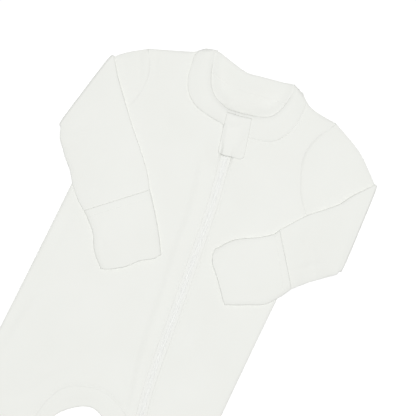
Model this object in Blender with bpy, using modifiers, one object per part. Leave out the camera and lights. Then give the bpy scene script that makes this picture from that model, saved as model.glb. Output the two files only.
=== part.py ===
"""Footed baby sleepsuit, laid flat on its back with both sleeves folded in over the front.

Metres, +Z up. +Y runs up the body to the neck and +X to the wearer's left. The origin lies under
the back panel, on the surface that the suit rests on. Tables are in millimetres: x across the body
and depth down it, from the highest point of the neck. Each cloth piece is a wall of its own, and
neighbours stand SEAM apart.
"""

import math

import bpy
import numpy as np
from mathutils import Matrix, Vector
from mathutils.geometry import delaunay_2d_cdt

MM = 0.001

# ---- Driving sizes: the cloth and how it lies
SUIT_LENGTH = 560 * MM  # highest point of the neck to the toes
TOP_Y = SUIT_LENGTH / 2
WALL = 1.2 * MM  # cloth
SEAM = 0.4 * MM  # between neighbouring pieces, in plan
LAYER = 0.3 * MM  # between two layers that lie on each other
TUBE = 2 * WALL + LAYER  # two flat layers
CROWN = 1.6 * MM  # how far the front rises inside its outline
CROWN_REACH = 26 * MM  # how soon it does
FALL = (4 * MM, 18 * MM)  # a layer that hangs over an edge comes down between these distances
FOLD_GAP = 0.5 * MM  # under a folded forearm
FOLD_STEP = 0.2 * MM  # from the last flat ring of a sleeve to the first ring of its crease
SLEEVE_LOFT = 0.9 * MM  # air in a forearm
CUFF_LOFT = 0.6 * MM
BAND_THICK = 2.4 * MM  # the neckband is two layers, folded
BACK_BAND = 2.2 * MM
BAND_EDGE = 0.35  # the neckband's thickness at its edges, as a share of its middle's
GUSSET_ROUND = (0.9 * MM, 0.8 * MM)  # the rounding of the gusset's folded edge, in plan and height
ANKLE = 473.8 * MM  # the body panels end here, SEAM / 2 above the seam to the feet

# ---- The zip. Depths run down the body from the highest point of the neck.
ZIP_OPEN = 9.0 * MM  # between the folded edges of the two fronts
ZIP_TOP = 61.5 * MM  # the open edges of the fronts start here, under the neckband
TAPE = 0.9 * MM
COIL = (4.4 * MM, 1.8 * MM)  # width and height of the zip's coil
COIL_TOP = 0.6  # its flat top, as a share of its width
TAPE_UNDER = 2.0 * MM  # the tape's underside, below the top of the fronts
SLIDER = (7.4 * MM, 10.5 * MM, 2.8 * MM)  # width, length, height of its body
SLIDER_LOW = WALL + LAYER
SLIDER_DEPTH = 64.5 * MM  # its middle
SLIDER_ROUND = 0.7 * MM
BRIDGE = (1.8 * MM, 7.6 * MM, 3.0 * MM)  # width, length, and height over the slider's body
BRIDGE_WALL = 1.0 * MM
BRIDGE_ROOT = 0.6 * MM  # how far it goes into the body
BRIDGE_ROUND = 0.4 * MM
PULL = (5.6 * MM, 22.1 * MM, 1.0 * MM)  # width, length, thickness of the tab
PULL_ROUND = 0.35 * MM
PULL_BAR = 1.2 * MM  # the bar of the pull tab that turns under the bridge
PULL_WINDOW = (3.2 * MM, 6.6 * MM)  # width and length of the hole that the bridge stands in
WINDOW_ROUND = 0.3 * MM
PULL_DROP = 1.2  # degrees that the tab leans down from its bar to its tip
HINGE_BACK = 1.8 * MM  # the hinge lies this far up the body from the slider's middle
GUARD_SIDES = (7.5 * MM, 15.5 * MM)  # how far the guard reaches to either side of the zip's line
GUARD_ENDS = (44.2 * MM, 83.5 * MM)  # the depths of its upper and lower edges
GUARD_TOP = 47 * MM  # above this depth it runs on straight, where the zip's line has ended
GUARD_FLAT = 4 * MM  # half the width that it holds level over the slider
GUARD_CLEAR = 0.3 * MM  # above the bridge
BAND_FOOT = (61.5 * MM, 70 * MM)  # the guard comes down off the neckband between these depths

# ---- How finely the shapes are divided
SAME_POINT = 0.05 * MM  # outline points nearer than this are one
EDGE_STEP = 9 * MM  # spacing of the points along an outline
SIDE_STEP = 15 * MM
FOOT_STEP = 8 * MM
FINE_STEP = 1 * MM
FRONT_GRID = 13 * MM  # spacing of the points inside a crowned panel
FOOT_GRID = 11 * MM
CHAIN_STEP = 10 * MM
ARCH_HALF = 19  # faces along each half of the gusset
ACROSS = 10  # faces across a flattened sleeve
BAND_ACROSS = 6  # faces across the neckband
UPPER_ARM_RINGS = 6
BEND_RINGS = 7
FOREARM_RINGS = 9
CUFF_RINGS = 7
BAND_RINGS = 15
GUARD_RINGS = 9

# ---- Outline tables, in millimetres: x, depth
SHOULDER = {
    "right": ((-55.6, 12), (-69, 17.8), (-82.3, 23.1), (-95.7, 28.4)),
    "left": ((52.2, 10.4), (61.9, 13.4), (73.4, 14.6), (83.2, 15.1)),
}
ARMHOLE = {
    "right": ((-95.7, 28.4), (-88.5, 40), (-84.6, 54), (-85.2, 70), (-91.5, 87), (-104.6, 102)),
    "left": ((83.2, 15.1), (73.4, 33.8), (70.2, 51.6), (74.3, 68), (84.5, 88), (104.6, 109.5)),
}
SIDE = {
    "right": ((-104.6, 102), (-104.5, 200), (-105.6, 308), (-107.5, 360), (-108.3, 420),
              (-106, 474)),
    "left": ((104.6, 109.5), (104.5, 200), (105.6, 308), (107.5, 360), (108.3, 420), (106, 474)),
}
FOOT = {
    "right": ((-106, 474.2), (-109, 500), (-110.5, 525), (-105, 546), (-92, 558), (-77, 560),
              (-62, 556), (-51, 541), (-46.5, 520), (-47.5, 495), (-49.5, 474.2)),
    "left": ((106, 474.2), (109, 500), (110.5, 525), (105, 546), (92, 558), (77, 560),
             (62, 556), (51, 541), (46.5, 520), (47.5, 495), (49.5, 474.2)),
}
# Gusset, from its middle to one end: the edge of the crotch arch, and the seam to the panels.
GUSSET_EDGE = ((0, 337.3), (8, 339.3), (15, 343.8), (21.5, 349.6), (27.1, 357), (31.6, 370),
               (36, 390), (41.2, 415), (47, 446))
GUSSET_SEAM = ((0, 319.5), (15.6, 323), (27.1, 328.4), (34, 335.5), (38.6, 345), (41.8, 356),
               (43.6, 372), (45.4, 400), (48.4, 446))
INSEAM_END = (49.5, 474)
ZIP_LINE = ((-1.8, 46), (3.6, 66), (8, 84), (13, 110), (17.5, 136), (24, 190), (29.5, 238),
            (35, 288), (41, 322), (50, 360), (57.5, 400), (63, 440), (65.5, 474))
# The soft hollow that runs down beside the zip: its line, depth and half width.
HOLLOW_LINE = ((-24, 62), (-12, 109), (-4, 145), (4.9, 198), (11.1, 252), (20, 305), (30, 350))
HOLLOW = (1.0 * MM, 8 * MM)

# Neckband, a row for each section: inner x, inner depth, outer x, outer depth.
NECKBAND = {
    "back": ((-44, 3.8, -55.4, 12), (-36, 3.7, -45, 18.6), (-20, 7.1, -25, 23.4),
             (-6.7, 8.9, -7.5, 25), (6.7, 6.4, 8, 22.8), (24.5, 2.9, 28, 19.3),
             (33, 0.9, 42, 16.4), (40, 1.8, 51.8, 10.4)),
    "right": ((-39, 3.1, -50.2, 6.2), (-39.6, 7.5, -55.6, 13), (-38, 16, -54.8, 26),
              (-35.2, 25, -52, 38), (-30.4, 34, -45.6, 48.5), (-24, 40.2, -35.2, 55.6),
              (-15.6, 43.8, -22, 58.6), (-7.5, 45.8, -6, 60)),
    "left": ((34.6, 0.5, 46.2, 4.6), (35.8, 5, 52.4, 11.5), (36, 14.5, 53, 25),
             (34.3, 23.4, 51, 38), (31.2, 31.2, 44.6, 50), (26, 36.6, 35.6, 57),
             (17, 40.4, 24, 60), (4.6, 43.8, 8.4, 61.5)),
}
# Sleeves, a row for each station: inner x, inner depth, outer x, outer depth. The upper arm runs
# from the armhole to the crease, and the forearm comes back from the crease to the cuff.
UPPER_ARM = {
    "right": ((-110, 38.5, -121.5, 113), (-123.3, 47.2, -138.4, 123.7)),
    "left": ((113.5, 29, 126, 121), (141.1, 48.6, 146, 131.7)),
}
FOREARM = {
    "right": ((-109, 63, -131.5, 134.5), (-95, 80, -121, 146.5), (-80, 97.5, -110.5, 156.5),
              (-64.5, 112, -102.2, 167.5), (-50, 127.5, -92.5, 177), (-40.5, 141.3, -84, 183)),
    "left": ((131.3, 57.9, 141.5, 138.5), (124.2, 66.8, 134.5, 144), (117, 78.5, 128.5, 149.5),
             (106, 90, 123.5, 154), (95, 101, 118.5, 159.5), (83, 116, 113, 165)),
}
CUFF = {
    "right": ((-40.5, 141.3, -84, 183), (-34, 147.2, -78, 187.6), (-24, 160, -68, 197.5),
              (-14, 174, -60, 211), (-4.6, 188.5, -47.5, 223.4)),
    "left": ((83, 116, 113, 165), (76.5, 127.5, 106.5, 174.5), (65, 136.5, 97, 187),
             (48, 147, 82, 195), (34.3, 162.9, 63.6, 204.7)),
}


# ---- Points and curves
def place(rows):
    """Rows of x and depth in millimetres as points in metres."""
    rows = np.array(rows, float) * MM
    return np.column_stack((rows[:, 0], TOP_Y - rows[:, 1]))


def stations(rows):
    """Rows of inner x, inner depth, outer x, outer depth as the two edges' points."""
    rows = np.array(rows, float)
    return place(rows[:, :2]), place(rows[:, 2:])


def eased_step(value, low, high):
    """0 below low and 1 above high, smoothly between them."""
    t = np.clip((value - low) / (high - low), 0, 1)
    return t * t * (3 - 2 * t)


def eased(rows, count):
    """count rows on a smooth curve through the rows, evenly spread from row to row."""
    rows = np.array(rows, float)
    slope = np.gradient(rows, axis=0)
    at = np.linspace(0, len(rows) - 1, count)
    k = np.minimum(at.astype(int), len(rows) - 2)
    t = (at - k)[:, None]
    return ((2 * t**3 - 3 * t**2 + 1) * rows[k] + (t**3 - 2 * t**2 + t) * slope[k]
            + (3 * t**2 - 2 * t**3) * rows[k + 1] + (t**3 - t**2) * slope[k + 1])


def along(points, shares):
    """The points at these shares of a line's length."""
    reach = np.concatenate(([0], np.cumsum(np.linalg.norm(np.diff(points, axis=0), axis=1))))
    at = np.asarray(shares) * reach[-1]
    return np.stack([np.interp(at, reach, points[:, i]) for i in range(points.shape[1])], axis=1)


def smooth(points, step=EDGE_STEP):
    """A smooth curve through the points, with a point about every step."""
    fine = eased(points, 16 * (len(points) - 1) + 1)
    length = np.linalg.norm(np.diff(fine, axis=0), axis=1).sum()
    return along(fine, np.linspace(0, 1, max(2, round(length / step)) + 1))


def beside(points, distance):
    """The line moved to its left by distance."""
    way = np.gradient(points, axis=0)
    way /= np.linalg.norm(way, axis=1)[:, None]
    return points + distance * np.column_stack((-way[:, 1], way[:, 0]))


def joined(*lines):
    """Lines end to end as one outline, without points that fall together."""
    points = np.concatenate(lines)
    apart = np.linalg.norm(points - np.roll(points, 1, axis=0), axis=1) > SAME_POINT
    return points[apart]


def distance_to(points, line, closed):
    """How far each point is from a line."""
    start = line if closed else line[:-1]
    way = (np.roll(line, -1, axis=0) if closed else line[1:]) - start
    gap = points[:, None] - start
    t = np.clip((gap * way).sum(2) / (way * way).sum(1), 0, 1)
    return np.linalg.norm(gap - t[..., None] * way, axis=2).min(1)


def inside(points, outline):
    """Whether each point is inside a closed outline: a line to the right of it crosses it an odd
    number of times."""
    a, b = outline, np.roll(outline, -1, axis=0)
    x, y = points[:, :1], points[:, 1:]
    spans = (a[:, 1] > y) != (b[:, 1] > y)
    rise = np.where(a[:, 1] == b[:, 1], 1, b[:, 1] - a[:, 1])
    return (spans & (x < a[:, 0] + (y - a[:, 1]) / rise * (b[:, 0] - a[:, 0]))).sum(1) % 2 == 1


def mirrored(points):
    return points * (-1, 1)


# ---- The outline of what lies on the table, and how high its top is
def arch_line(rows):
    """One of the gusset's two lines, from the end on the right leg over the arch to the left."""
    rows = place(rows)
    fine = smooth(np.concatenate((mirrored(rows)[:0:-1], rows)), FINE_STEP)
    return along(fine, np.linspace(0, 1, 2 * ARCH_HALF + 1))


def leg_inside(side, rows):
    """The line down the inside of a leg, from the middle of the crotch to the ankle."""
    line = arch_line(rows)
    half = np.concatenate((line[len(line) // 2:], place([INSEAM_END])))
    return half if side == "left" else mirrored(half)


def band_edges(part):
    """The neckband's inner edge and its seam."""
    return stations(eased(NECKBAND[part], BAND_RINGS))


def body_outline():
    """The whole silhouette without the folded forearms: neck, shoulders, upper arms, legs, feet."""
    halves = {}
    for side in ("right", "left"):
        inner, outer = stations(UPPER_ARM[side])
        armpit = place(ARMHOLE[side])[-1:]
        top = np.concatenate((place(SHOULDER[side])[-1:], inner))
        halves[side] = joined(
            smooth(place(SHOULDER[side])),
            smooth(top),
            np.linspace(inner[-1], outer[-1], 9),
            np.linspace(outer[-1], armpit[0], 4),
            smooth(place(SIDE[side]), SIDE_STEP),
            smooth(place(FOOT[side])),
            leg_inside(side, GUSSET_EDGE)[::-1],
        )
    return joined(halves["right"], halves["left"][::-1], band_edges("back")[0][::-1])


OUTLINE = body_outline()


def lie(points):
    """Height of the top of the two layers that lie on the table. It is TUBE at the silhouette and
    rises by CROWN inside it, with the soft hollow beside the zip taken out. Outside the silhouette
    it comes down to the table over FALL."""
    away = distance_to(points, OUTLINE, True)
    rise = CROWN * (1 - np.exp(-away / CROWN_REACH))
    depth, width = HOLLOW
    off = distance_to(points, smooth(place(HOLLOW_LINE)), False)
    rise = rise * (1 - depth / CROWN * np.exp(-((off / width) ** 2)))
    outside = TUBE * (1 - eased_step(away, *FALL))
    return np.where(inside(points, OUTLINE), TUBE + rise, outside)


# ---- Solids
def material(name, colour, roughness, metallic=0.0):
    """A Principled material of one colour, given as linear RGB."""
    made = bpy.data.materials.new(name)
    made.use_nodes = True
    made.diffuse_color = (*colour, 1)
    shader = made.node_tree.nodes["Principled BSDF"]
    shader.inputs["Base Color"].default_value = (*colour, 1)
    shader.inputs["Roughness"].default_value = roughness
    shader.inputs["Metallic"].default_value = metallic
    return made


def add(name, points, faces, finish):
    """A mesh object in the suit's collection."""
    mesh = bpy.data.meshes.new(name)
    mesh.from_pydata(points, [], faces)
    mesh.materials.append(finish)
    piece = bpy.data.objects.new(name, mesh)
    SUIT.objects.link(piece)
    return piece


def panel(name, outline, under, finish, grid=None, wall=WALL):
    """A cut panel: its outline filled with triangles at the height under(points), then thickened
    upwards. grid is the spacing of the points inside it, which a flat panel doesn't need."""
    points = outline
    if grid:
        low, high = outline.min(0), outline.max(0)
        xs, ys = (np.arange(low[i] + grid / 2, high[i], grid) for i in (0, 1))
        lattice = np.array([(x + (j % 2) * grid / 2, y) for j, y in enumerate(ys) for x in xs])
        kept = inside(lattice, outline) & (distance_to(lattice, outline, True) > 0.5 * grid)
        points = np.concatenate((outline, lattice[kept]))
    rim = [(i, (i + 1) % len(outline)) for i in range(len(outline))]
    flat, _, faces, _, _, _ = delaunay_2d_cdt([Vector(p) for p in points], rim, [], 1, 1e-7)
    plan = np.array([tuple(p) for p in flat])
    faces = [f if turns_left(plan, f) else f[::-1] for f in faces]
    piece = add(name, np.column_stack((plan, under(plan))).tolist(), faces, finish)
    solidify = piece.modifiers.new("Wall", "SOLIDIFY")
    solidify.thickness = wall
    solidify.offset = 1
    solidify.use_even_offset = True
    return piece


def turns_left(plan, face):
    """Whether a triangle's corners run anticlockwise, seen from above."""
    a, b, c = (plan[i] for i in face[:3])
    return (b[0] - a[0]) * (c[1] - a[1]) > (b[1] - a[1]) * (c[0] - a[0])


def lofted(name, rings, finish, ends):
    """A surface through closed rings, one row of points each. ends says whether its two ends are
    filled in, or whether the last ring joins the first."""
    rings = np.array(rings)
    count, size = rings.shape[:2]
    faces = []
    for i in range(count - 1 if ends else count):
        for j in range(size):
            row, over, side = i * size, (i + 1) % count * size, (j + 1) % size
            faces.append((row + j, row + side, over + side, over + j))
    if ends:
        faces.append(tuple(range(size))[::-1])
        faces.append(tuple(range((count - 1) * size, count * size)))
    piece = add(name, rings.reshape(-1, 3).tolist(), faces, finish)
    face_outwards(piece)
    return piece


def face_outwards(piece):
    """Turns every face round if the mesh's signed volume is negative."""
    mesh = piece.data
    mesh.calc_loop_triangles()
    points = np.array([v.co for v in mesh.vertices], float)
    corners = points[np.array([t.vertices for t in mesh.loop_triangles])]
    if np.linalg.det(corners).sum() < 0:
        mesh.flip_normals()


# ---- Sleeves and cuffs
SPREAD = -np.cos(np.linspace(0, math.pi, ACROSS + 1))  # -1 at the inner edge, 1 at the outer
SWELL = np.sqrt(1 - SPREAD**16)  # a flattened tube's section: full nearly to its edges
UP = np.array((0.0, 0.0, 1.0))
BEND_RADIUS = (TUBE + FOLD_GAP) / 2  # of the middle of a sleeve round its crease
BEND_IN = BEND_RADIUS + TUBE / 2  # from the outside of the crease in to its axis


def across(inner, outer):
    """Points from the inner to the outer edge of a station."""
    return inner + (outer - inner) * (SPREAD[:, None] + 1) / 2


def drawn_in(plan, amount):
    """The points moved towards the middle of their line, by amount at its ends."""
    middle = (plan[:1] + plan[-1:]) / 2
    half = np.linalg.norm(plan[-1] - plan[0]) / 2
    return middle + (plan - middle) * (1 - amount / half)


def ring(plan, low, high, inset=0.0):
    """A closed ring: across the underside to the outer edge and back across the top. low and high
    are the two skins' heights. The skin itself is drawn in by inset all round."""
    plan = drawn_in(plan, inset)
    middle = (low + high) / 2
    half = (high - low) / 2 - inset
    lower = np.column_stack((plan, middle - half * SWELL))
    upper = np.column_stack((plan, middle + half * SWELL))
    return np.concatenate((lower, upper[-2:0:-1]))


def bend(inner, outer, away, turn, inset=0.0):
    """A ring part of the way round the crease: turn is 0 below it and pi above it. away points
    out of the fold."""
    axis = drawn_in(across(inner, outer) - away * BEND_IN, inset)
    middle = np.column_stack((axis, np.full(len(axis), BEND_IN)))
    out = np.append(away, 0.0)
    middle = middle + BEND_RADIUS * (out * math.sin(turn) - UP * math.cos(turn))
    half = (TUBE / 2 - inset) * SWELL[:, None] * (UP * math.cos(turn) - out * math.sin(turn))
    return np.concatenate((middle - half, (middle + half)[-2:0:-1]))


def upper_arm_rings(side, inset):
    """Rings from the armhole to the crease: flat on the table, with the top as high as lie()."""
    sign = -1 if side == "right" else 1
    seam = along(smooth(place(ARMHOLE[side])), (SPREAD + 1) / 2)
    seam = beside(seam, sign * SEAM / 2)
    inner, outer = stations(UPPER_ARM[side])
    plans = [seam, across(inner[0], outer[0]), across(inner[1], outer[1])]
    away = crease_away(inner[-1], outer[-1], sign)
    plans[-1] = plans[-1] - away * (BEND_IN + FOLD_STEP)
    rows = eased(np.array(plans).reshape(len(plans), -1), UPPER_ARM_RINGS)
    rows = rows.reshape(UPPER_ARM_RINGS, -1, 2)
    return [ring(plan, np.zeros(len(plan)), lie(plan), inset) for plan in rows]


def crease_away(inner, outer, sign):
    """The way out of the fold, square to the crease."""
    way = (outer - inner) / np.linalg.norm(outer - inner)
    return sign * np.array((-way[1], way[0]))


def on_top(plan, loft):
    """The two skins' heights of a tube that lies on the front, and sags over its edge."""
    low = lie(plan) + FOLD_GAP
    return low, low + TUBE + loft * (1 - SPREAD**2)


def turned(rings):
    """Rings of a folded part, run so that they go on from those of the bend: the sleeve's upper
    skin is underneath once it is folded."""
    flipped = []
    for points in rings:
        lower, upper = points[: ACROSS + 1], points[ACROSS + 1 :][::-1]
        lower_inside = lower[1:-1]
        upper_all = np.concatenate((lower[:1], upper, lower[-1:]))
        flipped.append(np.concatenate((upper_all, lower_inside[::-1])))
    return flipped


def sleeve(side, finish):
    """A flattened tube with walls: out from the armhole, round the crease, and back over the
    front to the cuff."""
    sign = -1 if side == "right" else 1
    inner, outer = stations(UPPER_ARM[side])
    away = crease_away(inner[-1], outer[-1], sign)
    rows = eased(FOREARM[side], FOREARM_RINGS)
    back = rows[-2] - rows[-1]
    rows[-1] += back * SEAM / (np.linalg.norm(back[:2]) * MM)
    plans = [across(a, b) for a, b in zip(*stations(rows))]
    skins = []
    for inset in (0.0, WALL):
        rings = upper_arm_rings(side, inset)
        for turn in np.linspace(0, math.pi, BEND_RINGS):
            rings.append(bend(inner[-1], outer[-1], away, turn, inset))
        forearm = [ring(plan, *on_top(plan, SLEEVE_LOFT), inset) for plan in plans]
        skins.append(rings + turned(forearm))
    return lofted("sleeve_" + side, skins[0] + skins[1][::-1], finish, False)


def cuff_plans(side):
    """The cuff's stations, drawn in so that the mitten over them is as wide as the table says."""
    ends = stations(eased(CUFF[side], CUFF_RINGS))
    return [drawn_in(across(a, b), WALL + LAYER) for a, b in zip(*ends)]


def cuff(side, finish):
    """The sleeve's end: a flattened tube, open at both ends, under the mitten."""
    skins = []
    for inset in (0.0, WALL):
        skins.append([ring(plan, *on_top(plan, CUFF_LOFT), inset) for plan in cuff_plans(side)])
    return lofted("cuff_" + side, skins[0] + skins[1][::-1], finish, False)


def mitten(side, finish):
    """The fold-over mitten: one wall made from the cuff's upper skin, moved out by LAYER."""
    rings = []
    for plan in cuff_plans(side):
        low, high = on_top(plan, CUFF_LOFT)
        outer = ring(plan, low, high, -WALL - LAYER)
        inner = ring(plan, low, high, -LAYER)
        top = slice(ACROSS, None)
        outer_top = np.concatenate((outer[top], outer[:1]))
        inner_top = np.concatenate((inner[top], inner[:1]))
        rings.append(np.concatenate((outer_top, inner_top[::-1])))
    return lofted("mitten_" + side, rings, finish, True)


# ---- Neckband
def band_ring(inner, outer, base, thick):
    """A flat-bottomed ring with a rounded top, between two edge points."""
    spread = -np.cos(np.linspace(0, math.pi, BAND_ACROSS + 1))
    plan = inner + (outer - inner) * (spread[:, None] + 1) / 2
    low = base(plan)
    full = thick * (BAND_EDGE + (1 - BAND_EDGE) * np.sqrt(1 - spread**4))
    lower = np.column_stack((plan, low))
    upper = np.column_stack((plan, low + full))
    return np.concatenate((lower, upper[::-1]))


def neckband(part, finish):
    """A stretch of the folded band. The back one lies on the table and the front ones on the
    panels' level, just above it."""
    inner, outer = band_edges(part)
    width = np.linalg.norm(inner - outer, axis=1)[:, None]
    outer = outer + (inner - outer) * (SEAM / 2) / width
    base = table_top if part == "back" else (lambda p: lie(p) + LAYER)
    thick = BACK_BAND if part == "back" else BAND_THICK
    name = "neckband_back" if part == "back" else "neckband_front_" + part
    rings = [band_ring(a, b, base, thick) for a, b in zip(inner, outer)]
    return lofted(name, rings, finish, True)


# ---- Body panels
def armhole_seam(side):
    """The armhole from shoulder to armpit, at the same points as the sleeve's first ring."""
    sign = -1 if side == "right" else 1
    return beside(along(smooth(place(ARMHOLE[side])), (SPREAD + 1) / 2), -sign * SEAM / 2)


def leg_seam(side):
    """The gusset seam and inseam from the crotch to the ankle, moved to the panel's side."""
    sign = -1 if side == "left" else 1
    return beside(leg_inside(side, GUSSET_SEAM), -sign * SEAM / 2)


def side_line(side):
    """The side seam from below the armpit to the ankle."""
    line = smooth(place(SIDE[side]), SIDE_STEP)[1:]
    line[-1, 1] = TOP_Y - ANKLE
    return line


def ankle_line(side, end):
    """Points along the ankle from the side seam to the point end."""
    start = side_line(side)[-1]
    count = round(np.linalg.norm(end - start) / EDGE_STEP)
    return np.linspace(start, end, count + 1)[1:]


def ankle_corner(side):
    """Where a leg's inner edge meets the ankle."""
    corner = leg_seam(side)[-1].copy()
    corner[1] = TOP_Y - ANKLE
    return corner


def band_seam(part):
    """The seam under the neckband, from the shoulder to the zip, or right across the back."""
    sign = 1 if part == "left" else -1
    return beside(band_edges(part)[1], sign * SEAM / 2)


def zip_line(step=EDGE_STEP):
    return smooth(place(ZIP_LINE), step)


def zip_edge(sign):
    """One folded edge of the fronts, from the neckband down to the ankle."""
    edge = beside(zip_line(), sign * ZIP_OPEN / 2)
    low = TOP_Y - ANKLE
    kept = edge[(edge[:, 1] < TOP_Y - ZIP_TOP) & (edge[:, 1] > low + EDGE_STEP / 2)]
    return np.concatenate((kept, [(kept[-1, 0] + (edge[-1, 0] - edge[-2, 0]) / 2, low)]))


def front_under(points):
    """Height of the underside of the fronts."""
    return lie(points) - WALL


def table_top(points):
    """Height of the surface that the suit lies on."""
    return np.zeros(len(points))


def front_right(finish):
    """The panel from the wearer's right side to the zip, with the crotch and the right leg."""
    outline = joined(
        smooth(place(SHOULDER["right"]))[1:-1],
        armhole_seam("right"),
        side_line("right"),
        ankle_line("right", ankle_corner("right")),
        leg_seam("right")[-2::-1],
        leg_seam("left")[1:-1],
        ankle_corner("left")[None],
        zip_edge(-1)[::-1],
        band_seam("right")[::-1],
    )
    return panel("front_right", outline, front_under, finish, FRONT_GRID)


def front_left(finish):
    """The panel from the zip to the wearer's left side, down to the left ankle."""
    outline = joined(
        smooth(place(SHOULDER["left"]))[1:-1],
        armhole_seam("left"),
        side_line("left"),
        ankle_line("left", zip_edge(1)[-1]),
        zip_edge(1)[-2::-1],
        band_seam("left")[::-1],
    )
    return panel("front_left", outline, front_under, finish, FRONT_GRID)


def back(finish):
    """The back, one flat panel from the neckband to both ankles."""
    halves = []
    for side in ("right", "left"):
        halves.append(joined(
            smooth(place(SHOULDER[side]))[1:-1],
            armhole_seam(side),
            side_line(side),
            ankle_corner(side)[None],
            leg_seam(side)[-2::-1],
        ))
    outline = joined(halves[0], halves[1][::-1], band_seam("back")[::-1])
    return panel("back", outline, table_top, finish)


def gusset(finish):
    """A strip folded round the crotch arch: a C-shaped wall from the back seam round the edge to
    the front seam, swept from one leg to the other. Its outer skin has eight points, in and up
    from the folded edge, and its inner skin six."""
    edges = arch_line(GUSSET_EDGE)[1:-1]
    seams = beside(arch_line(GUSSET_SEAM), -SEAM / 2)[1:-1]
    round_in, round_up = GUSSET_ROUND
    rings = []
    for edge, seam in zip(edges, seams):
        width = np.linalg.norm(seam - edge)
        into = (seam - edge) / width
        fold = min(WALL, width / 2)
        reach = np.array((width, width / 2, round_in, 0, 0, round_in, width / 2, width))
        plan = edge + reach[:, None] * into
        top = lie(plan)
        height = (0, 0, 0, round_up, top[4] - round_up, *top[5:])
        inner_plan = edge + np.array((width, width / 2, fold, fold, width / 2, width))[:, None] * into
        inner_height = (WALL, WALL, WALL, WALL + LAYER, *(top[6:] - WALL))
        outer = np.column_stack((plan, height))
        inner = np.column_stack((inner_plan, inner_height))
        rings.append(np.concatenate((outer, inner[::-1])))
    return lofted("crotch_gusset", rings, finish, True)


def foot(side, finish):
    """The flat sole and the crowned upper of a foot, with the same outline."""
    line = smooth(place(FOOT[side]), FOOT_STEP)
    ankle = np.linspace(line[-1], line[0], round(np.linalg.norm(line[-1] - line[0]) / EDGE_STEP))
    panel("foot_sole_" + side, line, table_top, finish)
    panel("foot_upper_" + side, joined(line, ankle[1:-1]), front_under, finish, FOOT_GRID)


# ---- Zip
def zip_frame(depth):
    """The zip line's point at a depth, the way it runs down the body, and the way across it."""
    line = zip_line(FINE_STEP)
    ways = np.gradient(line, axis=0)
    at = int(np.argmin(np.abs(line[:, 1] - (TOP_Y - depth))))
    way = ways[at] / np.linalg.norm(ways[at])
    return line[at], way, np.array((-way[1], way[0]))


def zip_chain(finish):
    """Tape and coil as one strip between the folded edges, from under the slider to the ankle."""
    start = zip_frame(SLIDER_DEPTH + SLIDER[1] / 2 + SEAM)[0]
    end = zip_frame(ANKLE - SEAM)[0]
    line = zip_line(CHAIN_STEP)
    room = CHAIN_STEP / 3
    between = (line[:, 1] < start[1] - room) & (line[:, 1] > end[1] + room)
    line = np.concatenate((start[None], line[between], end[None]))
    half = ZIP_OPEN / 2 - SEAM
    coil_half, coil_high = COIL[0] / 2, COIL[1]
    flat = coil_half * COIL_TOP
    side = np.array((-half, half, half, coil_half, flat, -flat, -coil_half, -half))
    rise = np.array((0, 0, TAPE, TAPE, coil_high, coil_high, TAPE, TAPE))
    across_way = beside(line, 1.0) - line
    rings = []
    for point, way in zip(line, across_way):
        plan = point + side[:, None] * way
        base = max(lie(point[None])[0] - TAPE_UNDER, WALL + LAYER)
        rings.append(np.column_stack((plan, base + rise)))
    return lofted("zip_chain", rings, finish, True)


def block(name, centre, size, finish, turn, bevel):
    """A box with bevelled edges, turned about Z."""
    bpy.ops.mesh.primitive_cube_add(size=1, location=centre, rotation=(0, 0, turn))
    piece = bpy.context.object
    piece.name = name
    piece.scale = size
    bpy.ops.object.transform_apply(location=False, rotation=False, scale=True)
    rounding = piece.modifiers.new("Rounding", "BEVEL")
    rounding.width = bevel
    rounding.segments = 2
    piece.data.materials.clear()
    piece.data.materials.append(finish)
    for collection in piece.users_collection:
        collection.objects.unlink(piece)
    SUIT.objects.link(piece)
    return piece


def helper(piece):
    """Moves a cutter, or a shape that is joined to another, out of the suit's collection."""
    SUIT.objects.unlink(piece)
    CUTTERS.objects.link(piece)
    piece.hide_render = True
    piece.display_type = "WIRE"


def boolean(piece, other, operation):
    """Cuts other out of piece, or joins it to it, and makes other a helper."""
    cut = piece.modifiers.new(operation.title(), "BOOLEAN")
    cut.operation = operation
    cut.object = other
    helper(other)


def hinge_point():
    """Middle of the bar that the pull tab turns on."""
    point, way, _ = zip_frame(SLIDER_DEPTH)
    point = point - way * HINGE_BACK
    return (*point, SLIDER_LOW + SLIDER[2] + LAYER + PULL_BAR / 2)


def slider(finish):
    """The slider's body with its bridge, an arch that the pull tab's bar turns under."""
    point, way, _ = zip_frame(SLIDER_DEPTH)
    turn = math.atan2(way[1], way[0]) + math.pi / 2
    top = SLIDER_LOW + SLIDER[2]
    body = block("zip_slider", (*point, top - SLIDER[2] / 2), SLIDER, finish, turn, SLIDER_ROUND)
    tall = BRIDGE[2] + BRIDGE_ROOT
    bridge = block("bridge", (*point, top - BRIDGE_ROOT + tall / 2), (*BRIDGE[:2], tall), finish,
                   turn, BRIDGE_ROUND)
    room = (BRIDGE[0] * 3, BRIDGE[1] - 2 * BRIDGE_WALL, BRIDGE[2] - BRIDGE_WALL)
    window = block("bridge_window", (*point, top + room[2] / 2), room, finish, turn, WINDOW_ROUND)
    boolean(bridge, window, "DIFFERENCE")
    boolean(body, bridge, "UNION")
    return body


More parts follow.
